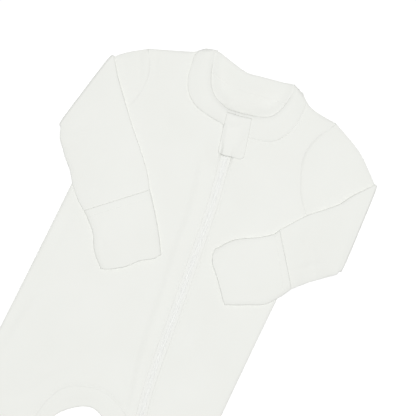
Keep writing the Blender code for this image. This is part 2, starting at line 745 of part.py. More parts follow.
def pull(finish):
    """The pull tab: a rounded plate with a window, whose end bar lies under the bridge. Its
    origin is on the hinge."""
    _, way, _ = zip_frame(SLIDER_DEPTH)
    turn = math.atan2(way[1], way[0]) + math.pi / 2
    plate = block("zip_pull", (0, 0, 0), PULL, finish, 0, PULL_ROUND)
    plate.data.transform(Matrix.Translation((0, (PULL_BAR - PULL[1]) / 2, 0)))
    window = block("pull_window", (0, 0, 0), (*PULL_WINDOW, 3 * PULL[2]), finish, 0, WINDOW_ROUND)
    window.data.transform(Matrix.Translation((0, -(PULL_BAR + PULL_WINDOW[1]) / 2, 0)))
    boolean(plate, window, "DIFFERENCE")
    for piece in (plate, window):
        piece.location = hinge_point()
        piece.rotation_euler = (math.radians(PULL_DROP), 0, turn)
    return plate


def guard(finish):
    """The flap over the slider: a wall that rises over the neckband's ends and the bridge, with
    its lower edge free above the pull tab."""
    tent = SLIDER_LOW + SLIDER[2] + BRIDGE[2] + GUARD_CLEAR
    shares = np.linspace(-1, 1, 11)
    reach = np.where(shares < 0, GUARD_SIDES[0], GUARD_SIDES[1]) * shares
    side_reach = np.where(shares < 0, *GUARD_SIDES)
    level = 1 - eased_step(np.abs(reach), GUARD_FLAT, side_reach)
    rings = []
    for depth in np.linspace(*GUARD_ENDS, GUARD_RINGS):
        point, way, side = zip_frame(max(depth, GUARD_TOP))
        point = point - way * max(0.0, GUARD_TOP - depth)
        plan = point + reach[:, None] * side
        over_band = 1 - eased_step(depth, *BAND_FOOT)
        edge = lie(plan) + LAYER + (BAND_THICK + LAYER) * over_band
        low = edge + np.maximum(tent - edge, 0) * level
        lower = np.column_stack((plan, low))
        upper = np.column_stack((plan, low + WALL))
        rings.append(np.concatenate((lower, upper[::-1])))
    return lofted("zip_guard", rings, finish, True)


def clear_scene():
    """Removes whatever the file held."""
    for item in list(bpy.data.objects):
        bpy.data.objects.remove(item)


def main():
    jersey = material("jersey", (0.855, 0.863, 0.823), 0.9)
    tape = material("zip_tape", (0.83, 0.84, 0.80), 0.7)
    enamel = material("zip_enamel", (0.80, 0.81, 0.77), 0.35)
    back(jersey)
    front_right(jersey)
    front_left(jersey)
    gusset(jersey)
    for part in NECKBAND:
        neckband(part, jersey)
    for side in ("right", "left"):
        sleeve(side, jersey)
        cuff(side, jersey)
        mitten(side, jersey)
        foot(side, jersey)
    zip_chain(tape)
    slider(enamel)
    pull(enamel)
    guard(jersey)


clear_scene()
SUIT = bpy.data.collections.new("footed_baby_sleepsuit")
CUTTERS = bpy.data.collections.new("cutters")
for collection in (SUIT, CUTTERS):
    bpy.context.scene.collection.children.link(collection)
main()
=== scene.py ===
# %% [markdown]
# # A footed baby sleepsuit, laid flat
#
# The suit is one fine off-white viscose jersey, cut into panels and sewn: a back, two fronts
# either side of a zip, sleeves, a neckband, mitten cuffs, a crotch gusset and feet. It lies on its
# back with both sleeves folded in over the front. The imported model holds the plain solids. This
# lesson dresses them: each cloth piece gets a thin shell on the same form with its creases, seams
# and stitches, and the zip gets its coil, slider and pull tab.
#
# The frame comes first, because every piece below is placed by it.

# %% Load the frame
import math

import bpy
import numpy as np
from mathutils import Matrix
from mathutils.geometry import delaunay_2d_cdt


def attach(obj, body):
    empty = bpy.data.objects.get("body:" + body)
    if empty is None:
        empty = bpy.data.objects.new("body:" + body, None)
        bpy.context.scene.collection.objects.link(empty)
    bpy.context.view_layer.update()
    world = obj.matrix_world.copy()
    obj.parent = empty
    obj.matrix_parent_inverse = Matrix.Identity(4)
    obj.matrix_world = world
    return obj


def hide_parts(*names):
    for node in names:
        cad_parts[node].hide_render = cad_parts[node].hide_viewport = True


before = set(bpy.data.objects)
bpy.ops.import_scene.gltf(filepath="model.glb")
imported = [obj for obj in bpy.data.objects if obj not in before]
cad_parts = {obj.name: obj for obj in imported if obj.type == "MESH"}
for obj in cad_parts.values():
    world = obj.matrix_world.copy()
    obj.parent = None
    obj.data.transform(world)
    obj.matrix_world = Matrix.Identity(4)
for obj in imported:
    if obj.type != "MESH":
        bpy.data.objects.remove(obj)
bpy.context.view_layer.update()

# %% [markdown]
# ## Camera, floor and light
#
# The suit is looked at from straight above, so the camera points down and only turns about its own
# axis. A long lens keeps the edges of the cloth upright. The view transform is the plain one,
# because a white garment on a white ground is all in the top of the range, which a filmic curve
# would grey. The light is a wide soft lamp that hangs almost straight over the suit, with a dim
# even sky around it. From there it casts hardly a shadow, and an edge or a crease shows because its
# cloth turns away from the lamp.

# %% Camera
MM = 0.001
VIEW_WIDTH = 370.2 * MM
VIEW_CENTRE = (13.9 * MM, 147.6 * MM)
VIEW_TURN = math.radians(26)
LENS = 135.0
SENSOR = 36.0

scene = bpy.context.scene
camera_data = bpy.data.cameras.new("camera")
camera_data.lens = LENS
camera_data.sensor_width = SENSOR
camera = bpy.data.objects.new("camera", camera_data)
camera.location = (*VIEW_CENTRE, VIEW_WIDTH * LENS / SENSOR)
camera.rotation_euler = (0, 0, VIEW_TURN)
scene.collection.objects.link(camera)
scene.camera = camera
scene.view_settings.view_transform = "Standard"
print("camera height, m:", round(camera.location.z, 3))

# %% Materials are built from nodes by one small function
def linear(code):
    """An sRGB hex code as linear RGBA: each channel c is c / 12.92 below 0.04045, and otherwise
    ((c + 0.055) / 1.055) to the power 2.4."""
    channels = np.array([int(code[i:i + 2], 16) for i in (1, 3, 5)]) / 255
    bright = ((channels + 0.055) / 1.055) ** 2.4
    return (*np.where(channels < 0.04045, channels / 12.92, bright), 1.0)


def add(tree, kind, *inputs, **settings):
    """Adds a node. inputs are (socket name or number, value or another node's output)."""
    made = tree.nodes.new("ShaderNode" + kind)
    for name, value in settings.items():
        setattr(made, name, value)
    for socket, value in inputs:
        if isinstance(value, bpy.types.NodeSocket):
            tree.links.new(value, made.inputs[socket])
        else:
            made.inputs[socket].default_value = value
    return made


def finish(name, code, **sockets):
    """A Principled material: its tree and its shader, with the constants set on the shader."""
    made = bpy.data.materials.new(name)
    made.use_nodes = True
    shader = made.node_tree.nodes["Principled BSDF"]
    shader.inputs["Base Color"].default_value = linear(code)
    for socket, value in sockets.items():
        shader.inputs[socket.replace("_", " ")].default_value = value
    return made, made.node_tree, shader


# %% Floor and light
SKY = 0.269
LAMP_POWER = 104.2
LAMP_SIZE = 1.3
LAMP_PLACE = (0.05, 0.25, 3.5)
LAMP_AIM = (0.014, 0.148, 0.0)
FLOOR_HALF = 6.0
FLOOR_Z = -0.3 * MM  # just under the cloth

sky = bpy.data.worlds.new("sky")
sky.use_nodes = True
sky.node_tree.nodes["Background"].inputs["Color"].default_value = (1, 1, 1, 1)
sky.node_tree.nodes["Background"].inputs["Strength"].default_value = SKY
scene.world = sky

lamp_data = bpy.data.lights.new("soft_lamp", "AREA")
lamp_data.energy = LAMP_POWER
lamp_data.size = LAMP_SIZE
lamp = bpy.data.objects.new("soft_lamp", lamp_data)
lamp.location = LAMP_PLACE
aim = np.array(LAMP_PLACE) - LAMP_AIM
lamp.rotation_euler = (math.atan2(math.hypot(aim[0], aim[1]), aim[2]), 0,
                       math.atan2(aim[0], -aim[1]))
scene.collection.objects.link(lamp)

floor_mesh = bpy.data.meshes.new("floor")
corners = ((-1, -1), (1, -1), (1, 1), (-1, 1))
floor_mesh.from_pydata([(x * FLOOR_HALF, y * FLOOR_HALF, FLOOR_Z) for x, y in corners], [],
                       [(0, 1, 2, 3)])
floor = bpy.data.objects.new("floor", floor_mesh)
floor_finish, _, _ = finish("matt_white_paper", "#fafafa", Roughness=0.9)
floor_mesh.materials.append(floor_finish)
scene.collection.objects.link(floor)

# %% [markdown]
# ## Sizes and outline tables
#
# Every edge of the suit is a short table of x across the body and depth down it, in millimetres,
# from the highest point of the neck. +X is the wearer's left. The same tables shape the solids, so
# a shell that follows them lies on its solid. Smooth curves are run through the rows, because cloth
# has few corners.

# %% Sizes
TOP_Y = 280 * MM  # the highest point of the neck
WALL = 0.65 * MM  # of jersey
SEAM = -0.3 * MM  # sewn pieces go into each other a little, so that no gap shows
DEEP_SEAM = -0.4 * MM  # and those that lie flush go deeper, which leaves no groove
LAYER = 0.3 * MM
TUBE = 2.7 * MM  # two flat layers
CROWN = 1.6 * MM
CROWN_REACH = 26 * MM
FALL = (1 * MM, 26 * MM)  # outside the silhouette, the height goes to 0 between these
FOLD_GAP = 0.5 * MM  # between a folded sleeve and what it lies on
FOLD_STEP = 0.2 * MM
# The sleeves are pressed flat towards their ends, so their layers get thinner there.
PRESSED_TUBE = 1.85 * MM
PRESSED_GAP = 0.15 * MM
PRESSED_LAYER = 0.7 * MM
SLEEVE_LOFT = 0.6 * MM
CUFF_LOFT = 0.35 * MM
BAND_THICK = 2.0 * MM
BACK_BAND = 2.2 * MM
ANKLE = 474.4 * MM
ZIP_OPEN = 9.0 * MM  # from one folded edge to the other
ZIP_TOP = 61.5 * MM
print("two flat layers, mm:", TUBE / MM, "and in the middle up to", (TUBE + CROWN) / MM)


# %% Outline tables
def mirrored(rows):
    """The same rows of x and depth on the other side of the body."""
    return tuple((-x, depth) for x, depth in rows)


# Rows of x and depth.
SHOULDER = {
    "right": ((-55.6, 12), (-69, 17.8), (-82.3, 23.1), (-95.7, 28.4)),
    "left": ((52.2, 10.4), (61.9, 13.4), (73.4, 14.6), (83.2, 15.1)),
}
ARMHOLE = {
    "right": ((-95.7, 28.4), (-88.5, 40), (-84.6, 54), (-85.2, 70), (-91.5, 87), (-104.6, 102)),
    "left": ((83.2, 15.1), (73.4, 33.8), (70.2, 51.6), (74.3, 68), (84.5, 88), (104.6, 109.5)),
}
SIDE = {
    "right": ((-104.6, 102), (-104.5, 200), (-105.6, 308), (-107.5, 360), (-108.3, 420),
              (-106, 474)),
}
SIDE["left"] = ((104.6, 109.5), *mirrored(SIDE["right"][1:]))
FOOT = {
    "right": ((-106, 474.2), (-109, 500), (-110.5, 525), (-105, 546), (-92, 558), (-77, 560),
              (-62, 556), (-51, 541), (-46.5, 520), (-47.5, 495), (-49.5, 474.2)),
}
FOOT["left"] = mirrored(FOOT["right"])
GUSSET_EDGE = ((0, 337.3), (8, 339.3), (15, 343.8), (21.5, 349.6), (27.1, 357), (31.6, 370),
               (36, 390), (41.2, 415), (47, 446))
GUSSET_SEAM = ((0, 319.5), (15.6, 323), (27.1, 328.4), (34, 335.5), (38.6, 345), (41.8, 356),
               (43.6, 372), (45.4, 400), (48.4, 446))
INSEAM_END = (49.5, 474)
ZIP_LINE = ((-1.8, 46), (3.6, 66), (8, 84), (13, 110), (17.5, 136), (24, 190), (29.5, 238),
            (35, 288), (41, 322), (50, 360), (57.5, 400), (63, 440), (65.5, 474))
HOLLOW_LINE = ((-19.7, 62), (-14, 90), (-6, 116), (-0.5, 146), (2, 173), (6.1, 200), (9.8, 226),
               (13, 254), (17, 277), (21.8, 299), (28, 324), (36, 350))
# Rows of inner x, inner depth, outer x and outer depth.
NECKBAND = {
    "back": ((-44, 3.8, -55.4, 12), (-36, 3.7, -45, 18.6), (-20, 7.1, -25, 23.4),
             (-6.7, 8.9, -7.5, 25), (6.7, 6.4, 8, 22.8), (24.5, 2.9, 28, 19.3),
             (33, 0.9, 42, 16.4), (40, 1.8, 51.8, 10.4)),
    "right": ((-39, 3.1, -50.2, 6.2), (-39.6, 7.5, -55.6, 13), (-38, 16, -54.8, 26),
              (-35.2, 25, -52, 38), (-30.4, 34, -45.6, 48.5), (-24, 40.2, -35.2, 55.6),
              (-15.6, 43.8, -22, 58.6), (-7.5, 45.8, -6, 60)),
    "left": ((34.6, 0.5, 46.2, 4.6), (35.8, 5, 52.4, 11.5), (36, 14.5, 53, 25),
             (34.3, 23.4, 51, 38), (31.2, 31.2, 44.6, 50), (26, 36.6, 35.6, 57),
             (17, 40.4, 24, 60), (4.6, 43.8, 8.4, 61.5)),
}
UPPER_ARM = {
    "right": ((-110, 38.5, -121.5, 113), (-123.3, 47.2, -138.4, 123.7)),
    "left": ((113.5, 29, 126, 121), (141.1, 48.6, 146, 131.7)),
}
FOREARM = {
    "right": ((-109, 63, -131.5, 134.5), (-94, 79.5, -121, 146.5), (-78.2, 96.7, -110.5, 156.5),
              (-63.3, 111.4, -102.2, 167.5), (-49, 127, -92.5, 177), (-39.5, 140.8, -84, 183)),
    "left": ((131.3, 57.9, 142.4, 135.3), (124.2, 66.8, 134.2, 142.8), (117, 78.5, 128, 148.5),
             (106, 90, 123, 153), (95, 101, 118, 158.3), (79.4, 122.3, 112, 164.5)),
}
CUFF = {
    "right": ((-39.5, 140.8, -84, 183), (-34, 147.2, -78, 187.6), (-24, 160, -68, 197.5),
              (-14, 174, -60, 211), (-4.6, 188.5, -47.5, 223.4)),
    "left": ((79.4, 122.3, 112, 164.5), (76, 128, 106.5, 174.5), (65, 136.5, 97, 187),
             (48, 147, 82, 195), (34.3, 162.9, 63.6, 204.7)),
}
TABLES = (SHOULDER, ARMHOLE, SIDE, FOOT, NECKBAND, UPPER_ARM, FOREARM, CUFF)
print("outline rows:", sum(len(rows) for table in TABLES for rows in table.values()))


# %% Ways and points
TINY = 1e-12


def place(rows):
    """Rows of x and depth in millimetres as points in metres: y is TOP_Y less the depth."""
    rows = np.array(rows, float) * MM
    return np.column_stack((rows[:, 0], TOP_Y - rows[:, 1]))


def stations(rows):
    """Rows of inner x, inner depth, outer x, outer depth as the two edges' points."""
    rows = np.array(rows, float)
    return place(rows[:, :2]), place(rows[:, 2:])


# %% Curves through the tables
def eased(rows, count):
    """count rows on a smooth curve through the rows. Between two rows it is the cubic that leaves
    and arrives with the mean slope of their neighbours."""
    rows = np.array(rows, float)
    slope = np.gradient(rows, axis=0)
    at = np.linspace(0, len(rows) - 1, count)
    k = np.minimum(at.astype(int), len(rows) - 2)
    t = (at - k)[:, None]
    return ((2 * t**3 - 3 * t**2 + 1) * rows[k] + (t**3 - 2 * t**2 + t) * slope[k]
            + (3 * t**2 - 2 * t**3) * rows[k + 1] + (t**3 - t**2) * slope[k + 1])


def lengths(ways):
    """How long each way is."""
    return np.linalg.norm(ways, axis=-1)


def unit(ways):
    """The same ways, each one long. TINY keeps one of no length from being divided by zero."""
    return ways / np.maximum(lengths(ways), TINY)[..., None]


def end_way(line):
    """The way in which a line ends, over its last three steps."""
    return unit(line[-1] - line[-4])


def left_of(ways):
    """The ways that point to the left of these."""
    return np.stack((-ways[..., 1], ways[..., 0]), axis=-1)


def raised(plans, height):
    """The points of a plan at these heights."""
    return np.concatenate((plans, height[..., None]), axis=-1)


def edgewards(steps):
    """Numbers from -1 to 1, closer together at both ends: minus the cosine of even angles."""
    return -np.cos(np.linspace(0, math.pi, steps + 1))


def run_of(points):
    """How far along a line each of its points is."""
    return np.concatenate(([0], np.cumsum(lengths(np.diff(points, axis=0)))))


def along(points, shares):
    """The points at these shares of a line's length."""
    run = run_of(points)
    at = np.asarray(shares) * run[-1]
    return np.stack([np.interp(at, run, points[:, i]) for i in range(points.shape[1])], axis=1)


def smooth(points, step=2 * MM):
    """A smooth curve through the points, with a point about every step."""
    fine = eased(points, 16 * (len(points) - 1) + 1)
    return along(fine, np.linspace(0, 1, max(2, round(run_of(fine)[-1] / step)) + 1))


def stepped(points, step=2 * MM):
    """The same line with a point about every step."""
    return along(points, np.linspace(0, 1, max(2, round(run_of(points)[-1] / step)) + 1))


def beside(points, distance):
    """The line moved to its left by distance."""
    return points + distance * left_of(unit(np.gradient(points, axis=0)))


TOUCHING = 0.05 * MM


def joined(*lines):
    """Lines end to end as one outline, without points that fall together."""
    points = np.concatenate(lines)
    return points[lengths(points - np.roll(points, 1, axis=0)) > TOUCHING]


def closed(outline):
    """An outline as a line that comes back to its first point."""
    return np.concatenate((outline, outline[:1]))


def distance_to(points, line):
    """How far each point is from a line: for every straight stretch, the foot of the perpendicular
    is held between the stretch's ends, and the shortest of the lengths is kept."""
    nearest = np.full(len(points), np.inf)
    for a, b in zip(line[:-1], line[1:]):
        way = b - a
        gap = points - a
        t = np.clip(gap @ way / (way @ way), 0, 1)
        nearest = np.minimum(nearest, np.hypot(gap[:, 0] - t * way[0], gap[:, 1] - t * way[1]))
    return nearest


def inside(points, outline):
    """Whether each point is inside an outline: a line to its right crosses the outline an odd
    number of times."""
    crossed = np.zeros(len(points), bool)
    x, y = points.T
    for a, b in zip(outline, np.roll(outline, -1, axis=0)):
        if a[1] != b[1]:
            spans = (a[1] > y) != (b[1] > y)
            crossed ^= spans & (x < a[0] + (y - a[1]) / (b[1] - a[1]) * (b[0] - a[0]))
    return crossed


def eased_step(value, low, high):
    """0 below low and 1 above high, smoothly between them: 3 t squared less 2 t cubed."""
    t = np.clip((value - low) / (high - low), 0, 1)
    return t * t * (3 - 2 * t)


def fading(far, reach):
    """1 at no distance and 0 from reach on, and between them (1 - far / reach) squared."""
    return np.clip(1 - far / reach, 0, 1) ** 2


# %% [markdown]
# ## How high the cloth lies
#
# A suit that lies flat is two layers of jersey with a little air between them. It is thinnest at
# its edges and swells gently inside them. Its creases are soft: a trough or a ridge a few
# millimetres wide that fades out at both ends. All of this is one height over the plan, so every
# shell that lies on another reads the same function, and the layers can't cross.

# %% The silhouette
ARCH_HALF = 70  # points on each side of the arch's middle
BAND_POINTS = 60  # along each part of the neckband
ROUGH = 9 * MM  # the silhouette only gives distances, so its points may be far apart
ROUGH_LEG = 6 * MM
ROUGH_SIDE = 15 * MM
ELBOW_POINTS = 9  # straight across the end of an upper arm
CHEST_POINTS = 4  # and from there to the foot of the armhole
NECK_POINTS = 15


def arch_line(rows):
    """The gusset's edge or its seam, from the right leg over the arch to the left leg."""
    rows = place(rows)
    whole = np.concatenate((rows[:0:-1] * (-1, 1), rows))
    return along(smooth(whole, 1 * MM), np.linspace(0, 1, 2 * ARCH_HALF + 1))


def leg_inside(side, rows):
    """The line down the inside of a leg, from the middle of the crotch to the ankle."""
    line = arch_line(rows)
    half = np.concatenate((line[len(line) // 2:], place([INSEAM_END])))
    return half if side == "left" else half * (-1, 1)


def band_edges(part, count=BAND_POINTS):
    """The neckband's inner edge and its seam."""
    return stations(eased(NECKBAND[part], count))


def silhouette():
    """The outline of all that lies on the table: neck, shoulders, upper arms, legs and feet."""
    halves = {}
    for side in ("right", "left"):
        inner, outer = stations(UPPER_ARM[side])
        halves[side] = joined(
            smooth(place(SHOULDER[side]), ROUGH),
            smooth(np.concatenate((place(SHOULDER[side])[-1:], inner)), ROUGH),
            np.linspace(inner[-1], outer[-1], ELBOW_POINTS),
            np.linspace(outer[-1], place(ARMHOLE[side])[-1], CHEST_POINTS),
            smooth(place(SIDE[side]), ROUGH_SIDE),
            smooth(place(FOOT[side]), ROUGH),
            stepped(leg_inside(side, GUSSET_EDGE)[::-1], ROUGH_LEG),
        )
    neck = band_edges("back", NECK_POINTS)[0][::-1]
    return joined(halves["right"], halves["left"][::-1], neck)


SILHOUETTE = silhouette()
print("silhouette points:", len(SILHOUETTE))

# %% The height of the front
HOLLOW = 2.0 * MM
HOLLOW_EDGE = 4.3 * MM  # half the width of the step down, at its line
HOLLOW_UP = (24 * MM, 66 * MM)  # from the line, the cloth rises again between these two
HOLLOW_FROM = (72 * MM, 112 * MM)  # it gets deep between these two depths
HOLLOW_TO = (310 * MM, 345 * MM)  # and shallow between these
MOUND = 2.8 * MM
MOUND_REACH = 17 * MM
MOUND_LINE = place(((1, 55), (6, 72)))
SLIDER_WAY = place(((1.8, 59), (3.6, 66), (8, 84), (13, 110)))
SLIDER_ROOM = (4.0 * MM, 7.4 * MM)  # the way's two sides rise between these, from its middle


def lie(points, bridged=0.0):
    """Height of the top of the two layers on the table: TUBE at the silhouette, rising inside it
    by CROWN times (1 - exp(-distance / CROWN_REACH)). Along a line on the right of the zip it steps
    down by HOLLOW, into the flat strip that the zip lies in. At the neck is a low mound, where band
    and guard lift the cloth beside the slider. The slider's way through it is open, or bridged by
    what spans it, for a share of 1. Outside the silhouette it comes down to the table over FALL."""
    away = distance_to(points, closed(SILHOUETTE))
    rise = CROWN * (1 - np.exp(-away / CROWN_REACH))
    line = smooth(place(HOLLOW_LINE), ROUGH)
    off = points[:, 0] - np.interp(-points[:, 1], -line[:, 1], line[:, 0])
    depth = TOP_Y - points[:, 1]
    rise = rise - HOLLOW * (eased_step(off, -HOLLOW_EDGE, HOLLOW_EDGE)
                            * (1 - eased_step(off, *HOLLOW_UP))
                            * eased_step(depth, *HOLLOW_FROM)
                            * (1 - eased_step(depth, *HOLLOW_TO)))
    mound = MOUND * np.exp(-((distance_to(points, MOUND_LINE) / MOUND_REACH) ** 2))
    beside_way = eased_step(distance_to(points, SLIDER_WAY), *SLIDER_ROOM)
    rise = rise + mound * np.maximum(beside_way, bridged)
    outside = TUBE * (1 - eased_step(away, *FALL))
    return np.where(inside(points, SILHOUETTE), TUBE + rise, outside)


hollow_at = place([(20, 200)])
print("the hollow beside the zip is at, mm:", round(float(lie(hollow_at)[0]) / MM, 2))

# %% Creases
# A crease is a row: x and depth of its two ends, how far its middle bows to the left of the line
# between them, its half width, and its rise, which is below zero for a trough. Millimetres.
FRONT_CREASES = (
    (-90, 27, -79, 52, 1, 2.6, -0.7), (22, 61.5, 40, 55, 0, 1.4, -0.3),
    (-95, 180, -99, 262, 2, 4.5, -0.35), (-94, 272, -99, 334, -3, 5, -0.7),
    (-84, 262, -92, 322, -2, 4, 0.35), (-74, 208, -60, 262, 5, 7, -0.3),
    (-60, 66, -48, 104, 3, 5, -0.35), (-66, 52, -40, 78, -3, 5, 0.25),
    (-28, 224, -8, 322, 3, 6, -0.3), (-42, 318, -74, 366, 5, 5, -0.55),
    (-31, 304, -66, 334, 4, 4, 0.35), (-50, 350, -80, 400, 4, 6, -0.45),
    (34, 96, 62, 116, -2, 6, -0.25), (40, 70, 70, 84, 3, 5, 0.25),
    (48, 214, 40, 282, 3, 4, 0.3), (55, 220, 50, 300, 2, 5, -0.35), (84, 210, 97, 262, -3, 6, -0.3),
    (70, 260, 92, 330, 4, 7, -0.4), (60, 300, 78, 352, 2, 5, 0.3), (78, 350, 100, 398, 3, 6, -0.5),
    (-96, 420, -66, 440, 2, 5, -0.4), (96, 424, 78, 446, -2, 5, -0.4),
    (-10, 300, -22, 318, 1, 3, -0.3), (8, 296, 22, 316, -1, 3, -0.3),
)
BACK_CREASES = (
    (-70, 60, -40, 110, 4, 6, 0.35), (66, 70, 30, 124, -4, 6, 0.4), (-80, 190, -30, 214, 3, 5, 0.35),
    (20, 240, 88, 262, -4, 6, 0.4), (-60, 300, -10, 318, 4, 5, 0.45), (12, 300, 60, 330, 4, 5, 0.45),
    (-96, 380, -60, 404, 2, 6, 0.4), (60, 388, 98, 402, -3, 5, 0.35), (-90, 440, -62, 452, 2, 4, 0.3),
)
ARM_CREASES = {
    "right": ((-102, 33, -87, 64, -1, 2.4, -0.9), (-98, 31, -84, 58, 0, 2.4, 0.4),
              (-109, 41, -96, 62, 1, 2.4, 0.35), (-113, 46, -104, 62, 1, 2.6, -0.4)),
    "left": ((85, 30, 92, 58, 1, 3, -0.3), (93, 30, 100, 56, 1, 3, 0.2),
             (82, 62, 100, 84, -2, 4, -0.25), (104, 34, 112, 60, 1, 3.5, -0.25),
             (102, 92, 116, 64, 0, 2.6, -0.85)),
}
FOREARM_CREASES = {
    "right": ((-118, 78, -122, 118, 3, 4, -0.2), (-100, 96, -116, 132, -3, 5, -0.25),
              (-109, 88, -120, 124, -2, 3.5, 0.15), (-76, 118, -92, 142, 2, 4, -0.25),
              (-66, 132, -84, 152, -2, 4, 0.2), (-84, 168, -70, 150, 2, 3.5, -0.3),
              (-86, 153, -77, 166, 0, 1.8, -0.25), (-58, 130, -50, 138, 0, 2.5, -0.3)),
    "left": ((110, 72, 106, 90, 1, 3, -0.3), (118, 84, 112, 104, -1, 3, 0.2),
             (129, 100, 122, 130, 2, 4, -0.2), (100, 155.5, 131, 127.5, 0, 1.9, -0.4),
             (99, 149, 126, 124, 0, 2.2, 0.2), (99, 122, 112, 128, 1, 3, -0.2)),
}
CUFF_CREASES = {
    "right": ((-52, 158, -34, 190, 2, 4, -0.2), (-66, 176, -54, 200, -2, 3.5, 0.2),
              (-59, 196, -48, 213, 0, 1.8, -0.25), (-28, 170, -16, 190, 1, 4, 0.2)),
    "left": ((84, 144, 62, 160, 2, 4, -0.2), (92, 152, 74, 172, -2, 4, 0.2),
             (98, 166, 80, 184, 2, 3.5, -0.2), (70, 140, 52, 156, -1, 3.5, 0.2)),
}
RIPPLES = 9  # how many waves
SEEDS = {"front": 3, "foot": 5, "upper_arm": 7, "forearm": 11, "cuff": 13, "band": 17}
RIPPLE_RISE = 0.07 * MM
RIPPLE_LONG = (18 * MM, 70 * MM)
CREASE_POWER = 0.6  # how fully it holds its height towards its ends: less is fuller
STITCH_DENT = 0.12 * MM
DENT_HALF = 1.0 * MM


def creases(points, rows):
    """The sum of the creases' heights. At a share t along a crease and off millimetres beside its
    bowed line, it is rise times exp(-(off / half) squared) times (4 t (1 - t)) to CREASE_POWER."""
    height = np.zeros(len(points))
    for x0, d0, x1, d1, bow, half, rise in rows:
        start, end = place([(x0, d0), (x1, d1)])
        way = end - start
        length = np.hypot(*way)
        gap = points - start
        t = np.clip(gap @ way / length**2, 0, 1)
        fade = 4 * t * (1 - t)
        off = (gap[:, 1] * way[0] - gap[:, 0] * way[1]) / length - bow * MM * fade
        height += rise * MM * np.exp(-((off / (half * MM)) ** 2)) * fade**CREASE_POWER
    return height


def ripples(points, where):
    """The faint unevenness of hand-laid jersey: the sum of RIPPLES sine waves, each of a length, a
    way and a phase of its own."""
    draw = np.random.default_rng(SEEDS[where])
    turn = draw.uniform(0, math.pi, RIPPLES)
    length = draw.uniform(*RIPPLE_LONG, RIPPLES)
    phase = draw.uniform(0, math.tau, RIPPLES)
    ways = np.stack((np.cos(turn), np.sin(turn))) * math.tau / length
    return RIPPLE_RISE * np.sin(points @ ways + phase).mean(axis=1) * math.sqrt(RIPPLES)


def falls(points, rows):
    """Cloth goes down where it is sewn or ends: for each line, fall times its fading over reach,
    and the most of them counts."""
    drop = np.zeros(len(points))
    for line, fall, reach in rows:
        drop = np.maximum(drop, fall * fading(distance_to(points, line), reach))
    return drop


def dents(points, rows):
    """A row of stitches pulls a small groove into the cloth: STITCH_DENT times
    exp(-(distance / DENT_HALF) squared)."""
    near = np.min([distance_to(points, line) for line in rows], axis=0)
    return STITCH_DENT * np.exp(-((near / DENT_HALF) ** 2))


print("creases on the front:", len(FRONT_CREASES))

# %% [markdown]
# ## The cloth, thread and zip finishes
#
# Viscose jersey is a fine plain knit. Its face is columns of small V-shaped stitches, matt but with
# a faint bloom at grazing angles, where the fibres catch light. The columns are drawn a little
# wider than the real half millimetre, or they wouldn't show at all. Each piece has a UV map in
# metres, so that the columns follow its grain. The zip tape is a woven polyester twill, the coil a
# nylon monofilament with a soft gloss, and the slider and its tab are zinc with white enamel.

# %% Jersey
WALE = 1.0 * MM  # drawn width of a column of stitches
COURSE = 0.8 * MM  # drawn height of a stitch
KNIT_RISE = 0.10 * MM
FUZZ = 0.45 * MM  # size of the fibres' unevenness
BLOTCH = 45 * MM  # size of the faint differences in shade


def wave(tree, value, turns):
    """The size of the sine of value times turns, which goes up and down twice a period."""
    inner = add(tree, "Math", (0, value), (1, turns * math.pi), operation="MULTIPLY")
    sine = add(tree, "Math", (0, inner.outputs[0]), operation="SINE")
    return add(tree, "Math", (0, sine.outputs[0]), operation="ABSOLUTE").outputs[0]


def jersey_finish():
    """Two legs across each column and one V a course: the height is |sin 2 pi u| times
    |sin pi (v + 0.45 ramp)|, where the ramp goes from 0 in a column's middle to 1 at its edges."""
    made, tree, shader = finish("viscose_jersey", "#e6e7e2", Roughness=0.86, Sheen_Weight=0.15,
                                Sheen_Roughness=0.45, Specular_IOR_Level=0.35)
    uv = add(tree, "UVMap", uv_map="cloth").outputs[0]
    stretched = add(tree, "Mapping", (0, uv), ("Scale", (1 / WALE, 1 / COURSE, 1)))
    split = add(tree, "SeparateXYZ", (0, stretched.outputs[0]))
    ramp = add(tree, "Math", (0, split.outputs[0]), (1, 0.5), operation="PINGPONG")
    lean = add(tree, "Math", (0, ramp.outputs[0]), (1, 0.9), (2, split.outputs[1]),
               operation="MULTIPLY_ADD")
    legs = wave(tree, split.outputs[0], 2)
    loops = wave(tree, lean.outputs[0], 1)
    knit = add(tree, "Math", (0, legs), (1, loops), operation="MULTIPLY")
    fuzz = add(tree, "TexNoise", ("Vector", uv), ("Scale", 1 / FUZZ), ("Detail", 3.0))
    mixed = add(tree, "Math", (0, fuzz.outputs[0]), (1, 0.5), (2, knit.outputs[0]),
                operation="MULTIPLY_ADD")
    bump = add(tree, "Bump", ("Height", mixed.outputs[0]), ("Distance", KNIT_RISE),
               ("Strength", 0.3))
    tree.links.new(bump.outputs[0], shader.inputs["Normal"])
    place_in = add(tree, "TexCoord").outputs["Object"]
    blotch = add(tree, "TexNoise", ("Vector", place_in), ("Scale", 1 / BLOTCH), ("Detail", 2.0))
    shade = add(tree, "ValToRGB", (0, blotch.outputs[0]))
    shade.color_ramp.elements[0].color = linear("#e4e5e0")
    shade.color_ramp.elements[1].color = linear("#e8e9e5")
    tree.links.new(shade.outputs[0], shader.inputs["Base Color"])
    return made


JERSEY = jersey_finish()

# %% Tape, coil, thread and enamel
TWILL = 0.55 * MM  # from one ridge of the weave to the next
PLY = 0.5 * MM  # from one turn of the thread to the next
ORANGE_PEEL = 0.8 * MM  # the enamel's waviness


